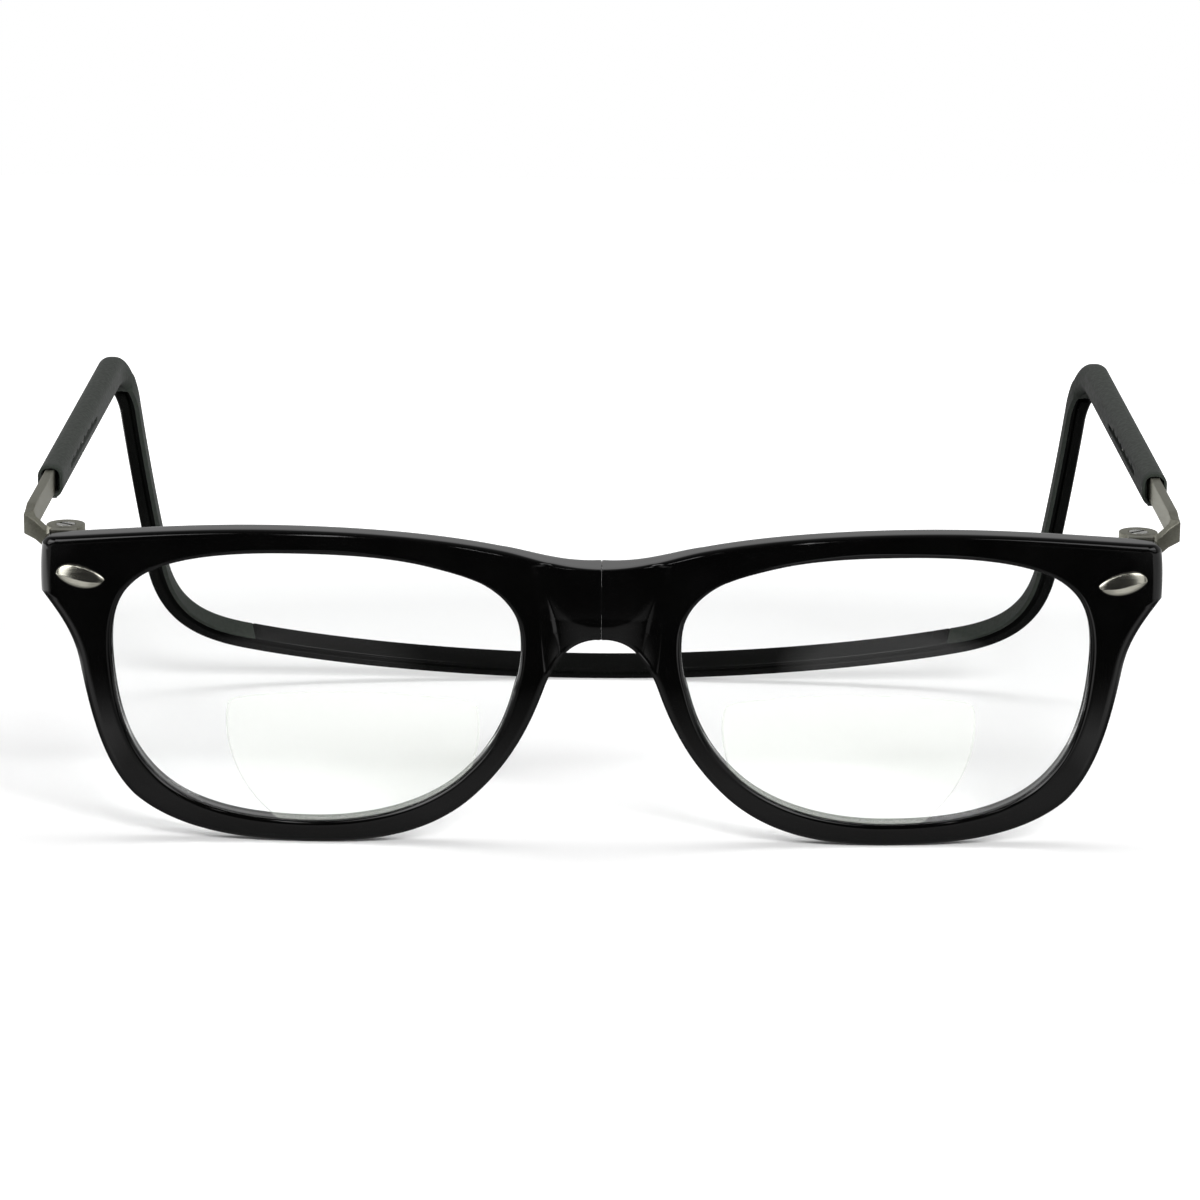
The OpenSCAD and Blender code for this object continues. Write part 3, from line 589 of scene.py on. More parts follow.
class HalfFront:
    """Rim, end piece and half bridge, lofted round the lens opening."""

    def __init__(self, sizes: FrontSizes) -> None:
        """Draws the outline's stretches and sets a station at each step along them."""
        self.s = s = sizes
        w, top, low = s.half_w, s.end_top, s.end_low
        # depth of the outer back edge behind the rim's back, and rounding of the outer edge
        back = s.bridge_t - s.rim_t
        seam, bridge, rim, end = (back, s.seam_r), (back, s.edge_r / 2), (0, s.edge_r), (0, s.end_r)
        pad, pad_end = (s.pad_h, s.edge_r), (s.pad_h / 3, s.edge_r)
        # each stretch: its form, its steps, and how its outer edge and the lens opening go on from the one before
        stretches = [
            (seam, 64, [(s.seam, 33), (s.seam, 30), (s.seam, s.arch_z + s.notch)],
             [(12.6, 32.6), (10.8, 30.6), (10.2, 28.6)]),
            (seam, 6, [(s.seam, s.arch_z), (s.seam, s.arch_z), (s.notch, s.arch_z)],
             [(10.1, 28.3), (10.1, 28), (10, 27.7)]),
            (bridge, 36, [(3.2, 26.1), (5.6, 24.3), (7, 20.3)], [(9.7, 25.6), (9.9, 22.8), (10.7, 20.4)]),
            (pad, 24, [(8.6, 15.8), (10.8, 11), (15.5, 6.5)], [(11.6, 16.6), (13, 13), (16.3, 9.8)]),
            (pad_end, 30, [(20.6, 1.6), (27.6, 0), (36, 0)], [(20.4, 5.4), (27.6, s.rim_w), (36, s.rim_w)]),
            (rim, 30, [(45, 0), (53, 1.2), (58, 5.6)], [(44, s.rim_w), (51.6, 4.2), (55.8, 9.2)]),
            (rim, 22, [(62, 9.6), (63.4, 16.4), (64.5, 22.4)], [(58.9, 12.8), (59.9, 17.2), (60.3, 22.6)]),
            (end, 20, [(65.2, 26.4), (w - 1.7, 29), (w, low)], [(60.5, 25), (60.4, 27.4), (59.8, 29.2)]),
            (end, 14, [(w + 0.1, low + 2), (w, top - 2), (w - 0.2, top - 1)], [(59.4, 30.6), (58.8, 31.6), (58, 32.4)]),
            (end, 12, [(w - 0.3, top - 0.4), (w - 0.8, top), (w - 1.5, top)], [(57.7, 32.7), (57.4, 33), (57, 33.3)]),
            (rim, 34, [(58, top + 0.8), (49, 39.8), (40, 39.8)], [(53.6, 36), (46, 36.9), (38, 36.9)]),
            (rim, 28, [(31, 39.8), (21, 39.3), (12.5, 37.7)], [(31, 36.9), (25.5, 36.6), (21, 35.5)]),
            (rim, 26, [(8.9, 37.07), (5.6, s.seam_top), (s.notch, s.seam_top)],
             [(18.9, 35), (17, 34.5), (15.6, 33.9)]),
            (bridge, 6, [(s.seam, s.seam_top), (s.seam, s.seam_top), (s.seam, s.seam_top - s.notch)],
             [(15.5, 33.87), (15.4, 33.83), (15.3, 33.8)]),
        ]
        self.stations = []
        for i, (form, steps, *edges) in enumerate(stretches):
            outer, inner = ([before[-1], *edge] for before, edge in zip(stretches[i - 1][2:], edges))
            here, then = np.array(form), np.array(stretches[(i + 1) % len(stretches)][0])
            for t in np.arange(steps) / steps:
                place, beside, run = cubic(outer, t), cubic(inner, t), unit(slope(outer, t))
                self.stations.append((place, beside, here + (then - here) * t, run))

    def opening(self, grow: float) -> np.ndarray:
        """Outline of the lens opening, grown into the rim."""
        return np.array([inner + unit(outer - inner) * grow for outer, inner, *_ in self.stations])

    def ridge_x(self, z: float) -> float:
        """X of the ridge between the rim's plane and the bridge."""
        return self.s.ridge_top_x - self.s.ridge_lean * (self.s.ridge_top_z - z)

    def below_bow(self, x: float, z: float) -> float:
        """How far a place is below the bow at which the bridge starts to fall back."""
        return self.s.bow_z + self.s.bow_rise * max(0.0, x) ** self.s.bow_power - z

    def depth(self, p: np.ndarray) -> float:
        """How far the face is set back behind the rim's plane at a place."""
        s, (x, z) = self.s, p
        inside = self.ridge_x(z) - x
        if inside <= 0 or z <= s.pad_z:
            return 0.0
        dip = s.dip * min(1.0, max(s.dip_least, 1 - (z - s.dip_z) * s.dip_taper))
        share = min(1.0, inside * s.dip / (s.ridge_slope * dip))
        below = self.below_bow(x, z)
        fall = (below + math.hypot(below, s.bow_soft)) / 2
        drop = dip * (1 - (1 - share) ** s.ridge_bow) + s.fall * fall * smooth(min(1.0, inside / s.fall_run))
        return drop * min(1.0, (z - s.pad_z) / s.pad_fade)

    @staticmethod
    def crossing(low: float, high: float, past: Callable[[float], bool]) -> float:
        """Where along a station a test starts to hold, or the far end if it does not hold there.

        Args:
            low: start of the stretch that is searched.
            high: its end.
            past: the test, as a function of the distance along the station.

        Returns:
            The distance, found by halving.
        """
        if not past(high):
            return high
        for _ in range(24):
            mid = (low + high) / 2
            low, high = (low, mid) if past(mid) else (mid, high)
        return high

    def section(self, outer: np.ndarray, inner: np.ndarray, form: np.ndarray, run: np.ndarray) -> list:
        """Ring of points round the rim's section at one station.

        Args:
            outer: place on the outer edge.
            inner: place beside it on the lens opening.
            form: depth of the back edge and rounding of the outer edge.
            run: direction of the outer edge.

        Returns:
            The ring, from the front lip over the face, the outer edge and the back to the back lip.
        """
        s = self.s
        w = float(np.linalg.norm(outer - inner))
        way = (outer - inner) / w
        r, lip = float(form[1]), s.lip_r
        # rounding along the station, longer where the station runs aslant to the edge
        e = r / max(s.least_across, abs(way[0] * run[1] - way[1] * run[0]))

        def face(along: float) -> float:
            """Depth of the face at a distance along the station."""
            return self.depth(inner + way * along)

        def past_ridge(along: float) -> bool:
            """Whether the station has come to the bridge's side of the ridge there."""
            x, z = inner + way * along
            return x < self.ridge_x(z) and z > s.pad_z

        end = w - e
        ridge = min(self.crossing(lip, end, past_ridge), end - 0.04)
        bow = self.crossing(ridge, end, lambda along: self.below_bow(*(inner + way * along)) < 0)
        bow = min(bow, end - 0.25 * (end - ridge))
        lips, bends = ([(math.sin(q), math.cos(q)) for q in np.linspace(0, math.pi / 2, steps)] for steps in (6, 8))
        ring = [(lip - lip * a, lip - lip * b) for a, b in lips[::-1]]
        ring += [(a, 0.0) for a in np.linspace(lip, ridge, 7)[1:-1]]
        ring += [(a, face(a)) for a in np.linspace(ridge, bow, 15)]
        ring += [(a, face(a)) for a in np.linspace(bow, end, 11)[1:]]
        dip, back, hump = face(end), s.rim_t + float(form[0]), max(1e-6, end - lip)
        ring += [(end + e * a, dip + r - r * b) for a, b in bends[1:]]
        ring += [(w, d) for d in np.linspace(dip + r, back - r, 5)[1:]]
        ring += [(end + e * b, back - r + r * a) for a, b in bends[1:]]
        ring += [(a, s.rim_t + float(form[0]) * smooth((a - lip) / hump) ** 1.2) for a in np.linspace(end, lip, 12)[1:]]
        ring += [(lip - lip * a, s.rim_t - lip + lip * b) for a, b in lips[1:]]
        ring += [(0.0, d) for d in np.linspace(s.rim_t - lip, lip, 4)[1:-1]]
        places = [(inner + way * along, d) for along, d in ring]
        return [(x, d + s.sag(x, z), z) for (x, z), d in places]

    def shell(self) -> Shell:
        """Returns the whole half front."""
        return Shell.through([self.section(*station) for station in self.stations], closed=True)


@dataclass
class Lens:
    """Lens with its raised reading segment."""

    front: HalfFront
    thick: float = 2.0
    bow: float = 0.00012
    hold: float = 0.3
    segment_r: float = 15.7
    segment_top: float = 19.6
    segment_bow: float = 110
    segment_h: float = 0.18
    segment_in: float = 4.5
    segment_rim: float = 0.984
    segment_gap: float = 0.03
    segment_clear: float = 0.02
    segment_rise: float = 4
    segment_start: float = 3

    def __post_init__(self) -> None:
        """Works out the lens's edge, a little inside the rim, the segment's edge and their middles."""
        edge = self.front.opening(0)
        self.edge, self.centre = self.front.opening(self.hold), (edge.min(0) + edge.max(0)) / 2
        self.window_rim, self.window_middle = self.window_edge()

    def face(self, x: float, z: float) -> float:
        """Depth of the lens's front surface."""
        s, c = self.front.s, self.centre
        return s.sag(x, z) + s.tongue_back - self.thick + self.bow * ((x - c[0]) ** 2 + (z - c[1]) ** 2)

    def slab(self, edge: np.ndarray, centre: np.ndarray, shares: list, front: Surface, rear: Surface) -> Shell:
        """Closed slab between two surfaces over an outline.

        Args:
            edge: the outline's points.
            centre: the point that its rings close on.
            shares: how far out each ring lies, up to 1.
            front: depth of the front surface at a share, X and Z.
            rear: depth of the rear surface at a share, X and Z.

        Returns:
            The slab.
        """
        rings = [[(x, surface(share, x, z), z) for x, z in centre + (edge - centre) * share]
                 for surface, order in ((front, shares), (rear, shares[::-1])) for share in order]
        poles = [(centre[0], surface(0, *centre), centre[1]) for surface in (front, rear)]
        return Shell.through(rings, poles=poles)

    def body(self) -> Shell:
        """Returns the lens."""
        shares = [0.08, 0.2, 0.34, 0.48, 0.62, 0.76, 0.88, 0.96, 1.0]
        back = self.front.s.tongue_back
        return self.slab(self.edge, self.centre, shares, lambda share, x, z: self.face(x, z),
                         lambda share, x, z: self.front.s.sag(x, z) + back)

    def window_edge(self) -> tuple[np.ndarray, np.ndarray]:
        """Outline of the reading segment and the point that it is drawn from."""
        mid = np.array([self.centre[0] - self.segment_in, self.segment_top - self.segment_rise])
        start = mid - [0, self.segment_start]
        edge = self.front.opening(0.05)
        points = []
        for a in np.linspace(0, 2 * math.pi, 241)[:-1]:
            way = np.array([math.cos(a), math.sin(a)])
            limits = [self.reach(start, way, mid, self.segment_r),
                      self.reach(start, way, mid + [0, self.segment_rise - self.segment_bow], self.segment_bow)]
            near = sum(max(0.02, v) ** -24 for v in limits) ** (-1 / 24)
            points.append(start + way * min(near, self.cross(start, way, edge)))
        return np.array(points), start

    @staticmethod
    def reach(start: np.ndarray, way: np.ndarray, centre: np.ndarray, radius: float) -> float:
        """How far a ray goes before it leaves a circle."""
        d = start - centre
        b = float(d @ way)
        return -b + math.sqrt(b * b - float(d @ d) + radius * radius)

    @staticmethod
    def cross(start: np.ndarray, way: np.ndarray, edge: np.ndarray) -> float:
        """How far a ray goes before it crosses a closed outline."""
        a, b = edge - start, np.roll(edge, -1, 0) - start
        side = np.array([-way[1], way[0]])
        pa, pb = a @ side, b @ side
        hit = (pa * pb <= 0) & (np.abs(pa - pb) > 1e-9)
        t = pa[hit] / (pa[hit] - pb[hit])
        along = (a[hit] + (b[hit] - a[hit]) * t[:, None]) @ way
        return float(min(v for v in along if v > 0))

    def window(self) -> Shell:
        """Returns the reading segment, a thin slab on the lens's face."""
        rim = self.segment_rim

        def raised(share: float, x: float, z: float) -> float:
            """Depth of the segment's face, which slopes to the lens at its edge."""
            full = 1 if share <= rim else (1 - share) / (1 - rim)
            return self.face(x, z) - self.segment_gap - self.segment_h * full

        def sunk(_: float, x: float, z: float) -> float:
            """Depth of its back, just clear of the lens."""
            return self.face(x, z) - self.segment_clear

        shares = [0.1, 0.25, 0.4, 0.55, 0.7, 0.82, 0.92, rim, 0.992, 1.0]
        return self.slab(self.window_rim, self.window_middle, shares, raised, sunk)

    def window_map(self, piece: bpy.types.Object, rest: RestPose, side: Side) -> None:
        """Gives the segment a UV map whose U is the share of the way out to its edge."""
        edge, start, lean = self.window_rim, self.window_middle, rest.turn.T
        ways = np.arctan2(*(edge - start).T[::-1])
        far = np.linalg.norm(edge - start, axis=1)
        order = np.argsort(ways)
        layer = piece.data.uv_layers.new(name="UVMap")
        for loop in piece.data.loops:
            p = lean @ (np.array(piece.data.vertices[loop.vertex_index].co) / MM - rest.shift)
            d = np.array([p[0] * side.value, p[2]]) - start
            limit = np.interp(math.atan2(d[1], d[0]), ways[order], far[order], period=2 * math.pi)
            layer.data[loop.index].uv = (float(np.linalg.norm(d) / limit), 0.5)


@dataclass(frozen=True)
class Rivet:
    """Almond-shaped rivet head with a ridge between two facets, standing square to the front's face."""

    front: FrontSizes
    length: float = 6.1
    upper: float = 1.41
    lower: float = 1.5
    height: float = 0.8
    ridge: float = 0.42
    tilt: float = -5.4
    skirt: float = 0.25
    inset: float = 5
    drop: float = 4.7
    pin_x: float = 1.6
    pin_r: float = 0.45
    upper_ends: tuple = (0.5, 0.8)
    lower_ends: tuple = (0.58, 0.72)
    crest_run: float = 1.5
    crest_most: float = 0.7
    fullness: float = 0.55

    def shell(self) -> Shell:
        """Returns the head and its two pins."""
        s = self.front
        x0, z0 = s.half_w - self.inset, s.end_top - self.drop
        turn = Matrix.Rotation(math.asin(x0 / s.radius), 3, "Z") @ Matrix.Rotation(math.radians(self.tilt), 3, "Y")
        spin, base = np.array(turn), np.array([x0, s.sag(x0, z0), z0])
        rings = []
        for u in -np.cos(np.linspace(0, math.pi, 57)):
            high, low = self.upper * self.swell(u, *self.upper_ends), self.lower * self.swell(-u, *self.lower_ends)
            crest = -min(self.ridge * smooth(min(1.0, (1 - u) / self.crest_run)), self.crest_most * low)
            rise = self.height * (1 - u * u) ** self.fullness
            section = [(crest + (high - crest) * v, -rise * self.facet(v)) for v in np.linspace(1, 0, 17)]
            section += [(crest - (low + crest) * v, -rise * self.facet(v)) for v in np.linspace(0, 1, 17)[1:]]
            section += [(-low, self.skirt), (high, self.skirt)]
            rings.append([base + spin @ np.array((u * self.length / 2, y, z)) for z, y in section])
        shell = Shell.through(rings)
        for middle in (-self.pin_x, self.pin_x):
            shell.loft([[base + spin @ np.array((middle + x, d, z)) for x, z in circle(self.pin_r, 24)]
                        for d in (self.skirt - 0.1, s.rim_t - 0.3)])
        return shell

    @staticmethod
    def swell(u: float, near: float, far: float) -> float:
        """Half width along the length, fuller towards the end at u = 1."""
        return max(0.0, 1 - u) ** near * max(0.0, 1 + u) ** far

    @staticmethod
    def facet(v: float) -> float:
        """Share of the height from the ridge (0) to the edge (1): a nearly flat facet, rounded off at the edge."""
        return (1 - 0.62 * v) * math.sqrt(max(0.0, 1 - v**6))


@dataclass(frozen=True)
class HingeSizes:
    """Sizes of the hinge, in millimetres."""

    front: FrontSizes
    barrel_d: float = 4.8
    leaf_t: float = 1.3
    eye_h: float = 3.0
    washer_t: float = 0.3
    screw_d: float = 1.6
    head_d: float = 2.4
    plate_t: float = 0.9
    plate_w: float = 7
    tongue_w: float = 3.2
    clear: float = 0.3
    gap: float = 0.05
    temple_z: float = 38.2
    axis_in: float = 2.5
    tongue_h: float = 2
    plate_h: float = 5.4
    overlap: float = 0.04
    plate_in: float = 1.7
    over: float = 0.2

    @property
    def x(self) -> float:
        """X of the axis."""
        return self.front.half_w - self.axis_in

    @property
    def plate_back(self) -> float:
        """Y of the end piece's back."""
        return self.front.sag(self.x, self.front.end_top) + self.front.rim_t

    @property
    def y(self) -> float:
        """Y of the axis."""
        return self.plate_back + self.barrel_d / 2 + self.clear

    @property
    def top(self) -> float:
        """Top of the barrel."""
        return self.temple_z + self.over

    @property
    def low(self) -> float:
        """Bottom of the barrel."""
        return self.top - 2 * self.leaf_t - self.eye_h - 2 * self.washer_t - 4 * self.gap

    @property
    def eye_low(self) -> float:
        """Bottom of the arm's eye."""
        return self.low + self.leaf_t + self.washer_t + 2 * self.gap

    def middle(self) -> np.ndarray:
        """Middle of the barrel."""
        return np.array([self.x, self.y, (self.low + self.top) / 2])


@dataclass(frozen=True)
class Hinge:
    """Bracket, screw and washers of one hinge."""

    h: HingeSizes
    edge: float = 0.12
    head_h: float = 0.75
    slot_deep: float = 0.42
    slot_half: float = 0.24
    slot_turn: float = 35

    @staticmethod
    def ring(inner: float, outer: float, z0: float, z1: float, soft: float) -> list:
        """Profile of a turned ring with soft outer edges."""
        turns, x = (0, 0.5, 1.05, 1.57), outer - soft
        profile = [[inner, z0], [x, z0]]
        profile += [[x + soft * math.sin(q), z0 + soft - soft * math.cos(q)] for q in turns[1:]]
        profile += [[x + soft * math.cos(q), z1 - soft + soft * math.sin(q)] for q in turns]
        return profile + [[inner, z1]]

    def bracket(self) -> Shell:
        """Returns the plate and the tongues that carry the two discs."""
        h, shell = self.h, Shell()
        x0, left, right = h.x - h.plate_in - h.plate_w / 2, h.x - h.tongue_w / 2, h.x + h.tongue_w / 2
        front, back = h.plate_back - h.plate_t, h.plate_back + h.overlap
        shell.box((x0, front, h.low), (x0 + h.plate_w, back, h.low + h.plate_h))
        shell.box((left, front, h.top - h.tongue_h), (right, back, h.top))
        for z in (h.low, h.top - h.leaf_t):
            shell.box((left, front, z), (right, h.y - h.screw_d, z + h.leaf_t))
        return shell

    def discs(self) -> Shell:
        """Returns the two discs, the upper one sunk for the screw's head."""
        h, shell = self.h, Shell()
        r, bore, sink = h.barrel_d / 2, h.screw_d / 2 + 0.03, h.head_d / 2 + h.gap
        shell.turned(self.ring(bore, r, h.low, h.low + h.leaf_t, self.edge), (h.x, h.y), 96)
        upper = self.ring(bore, r, h.top - h.leaf_t, h.top, self.edge)
        seat = h.top - self.head_h - 0.05
        upper[-1:] = [[sink + 0.06, h.top], [sink, h.top - 0.06], [sink, seat], [bore, seat]]
        shell.turned(upper, (h.x, h.y), 96)
        return shell

    def screw(self) -> Shell:
        """Returns the slotted screw, its head cut in two by its slot."""
        h, shell = self.h, Shell()
        r, low, top = h.head_d / 2, h.top - self.head_h, h.top
        floor, start = top - self.slot_deep, math.asin(self.slot_half / r)
        for out, bottom, end, steps in ((h.screw_d / 2, h.low + 0.02, low + 0.1, 48), (r, low, floor, 64)):
            shell.turned([[0.001, bottom], [out, bottom], [out, end], [0.001, end]], (h.x, h.y), steps)
        for flip in (0, math.pi):
            sweep = np.linspace(start, math.pi - start, 30) + flip + math.radians(self.slot_turn)
            shell.loft([[(h.x + (r - inset) * math.cos(a), h.y + (r - inset) * math.sin(a), z) for a in sweep]
                        for z, inset in ((floor - 0.02, 0), (top - 0.09, 0), (top - 0.02, 0.035), (top, 0.11))])
        return shell

    def washers(self) -> Shell:
        """Returns the two washers."""
        h, shell = self.h, Shell()
        for z in (h.eye_low - h.gap - h.washer_t, h.eye_low + h.eye_h + h.gap):
            shell.turned(self.ring(h.screw_d / 2 + h.gap, h.barrel_d / 2 - 0.2, z, z + h.washer_t, 0.05), (h.x, h.y))
        return shell


@dataclass(frozen=True)
class ArmSizes:
    """Sizes of the arm and of the temple's straight part, in millimetres."""

    hinge: HingeSizes
    thick: float = 1.2
    high: float = 3.2
    temple_out: float = 2.4
    corner_run: float = 0.8
    corner_wide: float = 0.32
    tube_front: float = 34.3
    slot_front: float = 43.6
    slot_l: float = 30
    peg_d: float = 0.6
    travel: float = 14.3
    leg_in: float = 0.6
    tip_past: float = 2.2

    @property
    def x(self) -> float:
        """X of the temple's centre line."""
        return self.hinge.front.half_w + self.temple_out

    @property
    def peg_y(self) -> float:
        """Y of the peg."""
        return self.slot_front + self.slot_l / 2

    @property
    def leg_y(self) -> float:
        """Y of the leg's front face."""
        return self.hinge.y + self.hinge.barrel_d / 2 - self.leg_in

    @property
    def tip(self) -> float:
        """Y of the strip's tip."""
        return self.peg_y + self.tip_past


@dataclass(frozen=True)
class Arm:
    """Flat metal arm: eye, inward leg, round bend and the strip that slides in the tube."""

    a: ArmSizes
    edge: float = 0.16
    peg_out: float = 1.45

    def stops(self) -> list:
        """Stops along the arm: place, angle of its run, and heights of its lower, outer and inner edges."""
        a, h = self.a, self.a.hinge
        leg, eye_low, eye_top = a.leg_y + a.thick / 2, h.eye_low, h.eye_low + h.eye_h
        low, top, run = h.temple_z - a.high / 2, h.temple_z + a.high / 2, a.corner_run
        stops = [((h.x - 0.8, leg), 0, (eye_low + 0.1, eye_top - 0.3, eye_top - 0.1)),
                 ((h.x + 1.9, leg), 0, (eye_low + 0.2, eye_top - 0.3, eye_top - 0.1)),
                 ((h.x + 2.3, leg), 0, (eye_low + 0.6, eye_top - 0.3, eye_top + 0.3)),
                 ((a.x - run, leg), 0, (low - 0.7, top - 1.5, top - 1.1)),
                 ((a.x, leg), 45, (low, top - 0.6, top - 0.4)),
                 ((a.x, leg + run), 90, (low, top - 0.5, top - 0.3))]
        for share in (0.25, 0.5, 0.75, 1):
            left = 1 - smooth(share)
            stops.append(((a.x, leg + run + 2.5 * share), 90, (low, top - 0.5 * left, top - 0.3 * left)))
        stops += [((a.x, y), 90, (low, top, top)) for y in (20, 26, 32, 40, a.tip - 0.6)]
        stops.append(((a.x, a.tip), 90, (low + 0.6, top - 0.6, top - 0.6)))
        return stops

    def strip(self) -> Shell:
        """Returns the leg, the bend and the strip as one swept bar."""
        rings, half = [], self.a.thick / 2
        for (x, y), turn, (low, outer, inner) in self.stops():
            wide, way = 1 + self.a.corner_wide * math.sin(math.radians(2 * turn)), math.radians(turn)
            out = (wide * math.sin(way), -wide * math.cos(way))
            corners = [(half, low), (half, outer), (-half, inner), (-half, low)]
            rings.append([(x + out[0] * d, y + out[1] * d, z) for d, z in rounded(corners, [self.edge] * 4, 3)])
        return Shell.through(rings)

    def eye(self) -> Shell:
        """Returns the eye between the washers."""
        h, shell = self.a.hinge, Shell()
        shell.turned(Hinge.ring(h.screw_d / 2 + h.gap, h.barrel_d / 2, h.eye_low, h.eye_low + h.eye_h, 0.1),
                     (h.x, h.y), 96)
        return shell

    def peg(self) -> Shell:
        """Returns the detent peg with its domed end."""
        a, inner = self.a, self.a.x - self.peg_out
        dome = ((0, 0.35), (0.04, 0.7), (0.12, 0.93), (0.22, 1), (self.peg_out + a.thick / 2 - 0.05, 1))
        return Shell.through([[(inner + deep, a.peg_y + y, a.hinge.temple_z + z)
                               for y, z in circle(a.peg_d / 2 * share, 32)] for deep, share in dome])


@dataclass(frozen=True)
class TempleSizes:
    """Sizes of the temple tube and the neck band, in millimetres."""

    arm: ArmSizes
    mouth_w: float = 3.2
    mouth_h: float = 4.3
    swell: float = 1.06
    bar_r: float = 1.4
    mouth_wall: float = 0.35
    mouth_deep: float = 2.5
    play: float = 0.08
    band_w: float = 2.9
    band_h: float = 3.4
    band_r: float = 0.5
    groove_w: float = 0.75
    groove_d: float = 1.1
    lip_t: float = 0.6
    web_t: float = 0.8
    open_at: float = 0.62
    opening: float = 0.06
    clear: float = 0.03
    slot_h: float = 0.7
    notch_d: float = 0.5
    pitch: float = 4.2
    notches: int = 6
    leans: tuple = (0, 66, 64, 60, 50)
    bend_y: float = 104.5
    neck_y: float = 148.4
    neck_z: float = -17.2

    def route(self) -> list:
        """Centre line past the tube's straight part, as four cubic curves."""
        x, z, y, low = self.arm.x, self.arm.hinge.temple_z, self.neck_y, self.neck_z
        crotch, heel, nape = (x - 1.95, 113.3, 31.5), (x - 4.65, 125.6, 4.6), (x * 0.76, 138.4, -10)
        return [
            [(x, self.bend_y, z), (x - 0.25, 110.2, z), (x - 1.65, 111.6, 35.4), crotch],
            [crotch, (x - 2.55, 117, 23.4), (x - 3.55, 121.7, 12.8), heel],
            [heel, (x - 5.85, 129.6, -3.8), (x * 0.858, 134.6, -7.6), nape],
            [nape, (x * 0.607, 144.4, -13.8), (x * 0.3075, y, low), (0, y, low)],
        ]

    def across(self, i: int, t: float) -> tuple[np.ndarray, np.ndarray, np.ndarray]:
        """Place on the route, with the direction to its inner side and its upper direction."""
        curve = self.route()[i]
        run = unit(slope(curve, t))
        lean = math.radians(self.leans[i] + (self.leans[i + 1] - self.leans[i]) * t)
        side = unit(np.cross([0, math.sin(lean), math.cos(lean)], run))
        return cubic(curve, t), side, np.cross(run, side)

    def outer_size(self, i: int, t: float) -> tuple[float, float]:
        """Width and height of the whole section at a place of the route."""
        grown = t if i == 0 else 1
        w, h = self.mouth_w * self.swell, self.mouth_h * self.swell
        return w + (self.band_w - w) * grown, h + (self.band_h - h) * grown

    @staticmethod
    def wall(i: int, t: float) -> float:
        """Share of the channel's walls that is left at a place of the route."""
        return 1.0 if i < 2 else 1 - 0.75 * t * t if i == 2 else 0.25


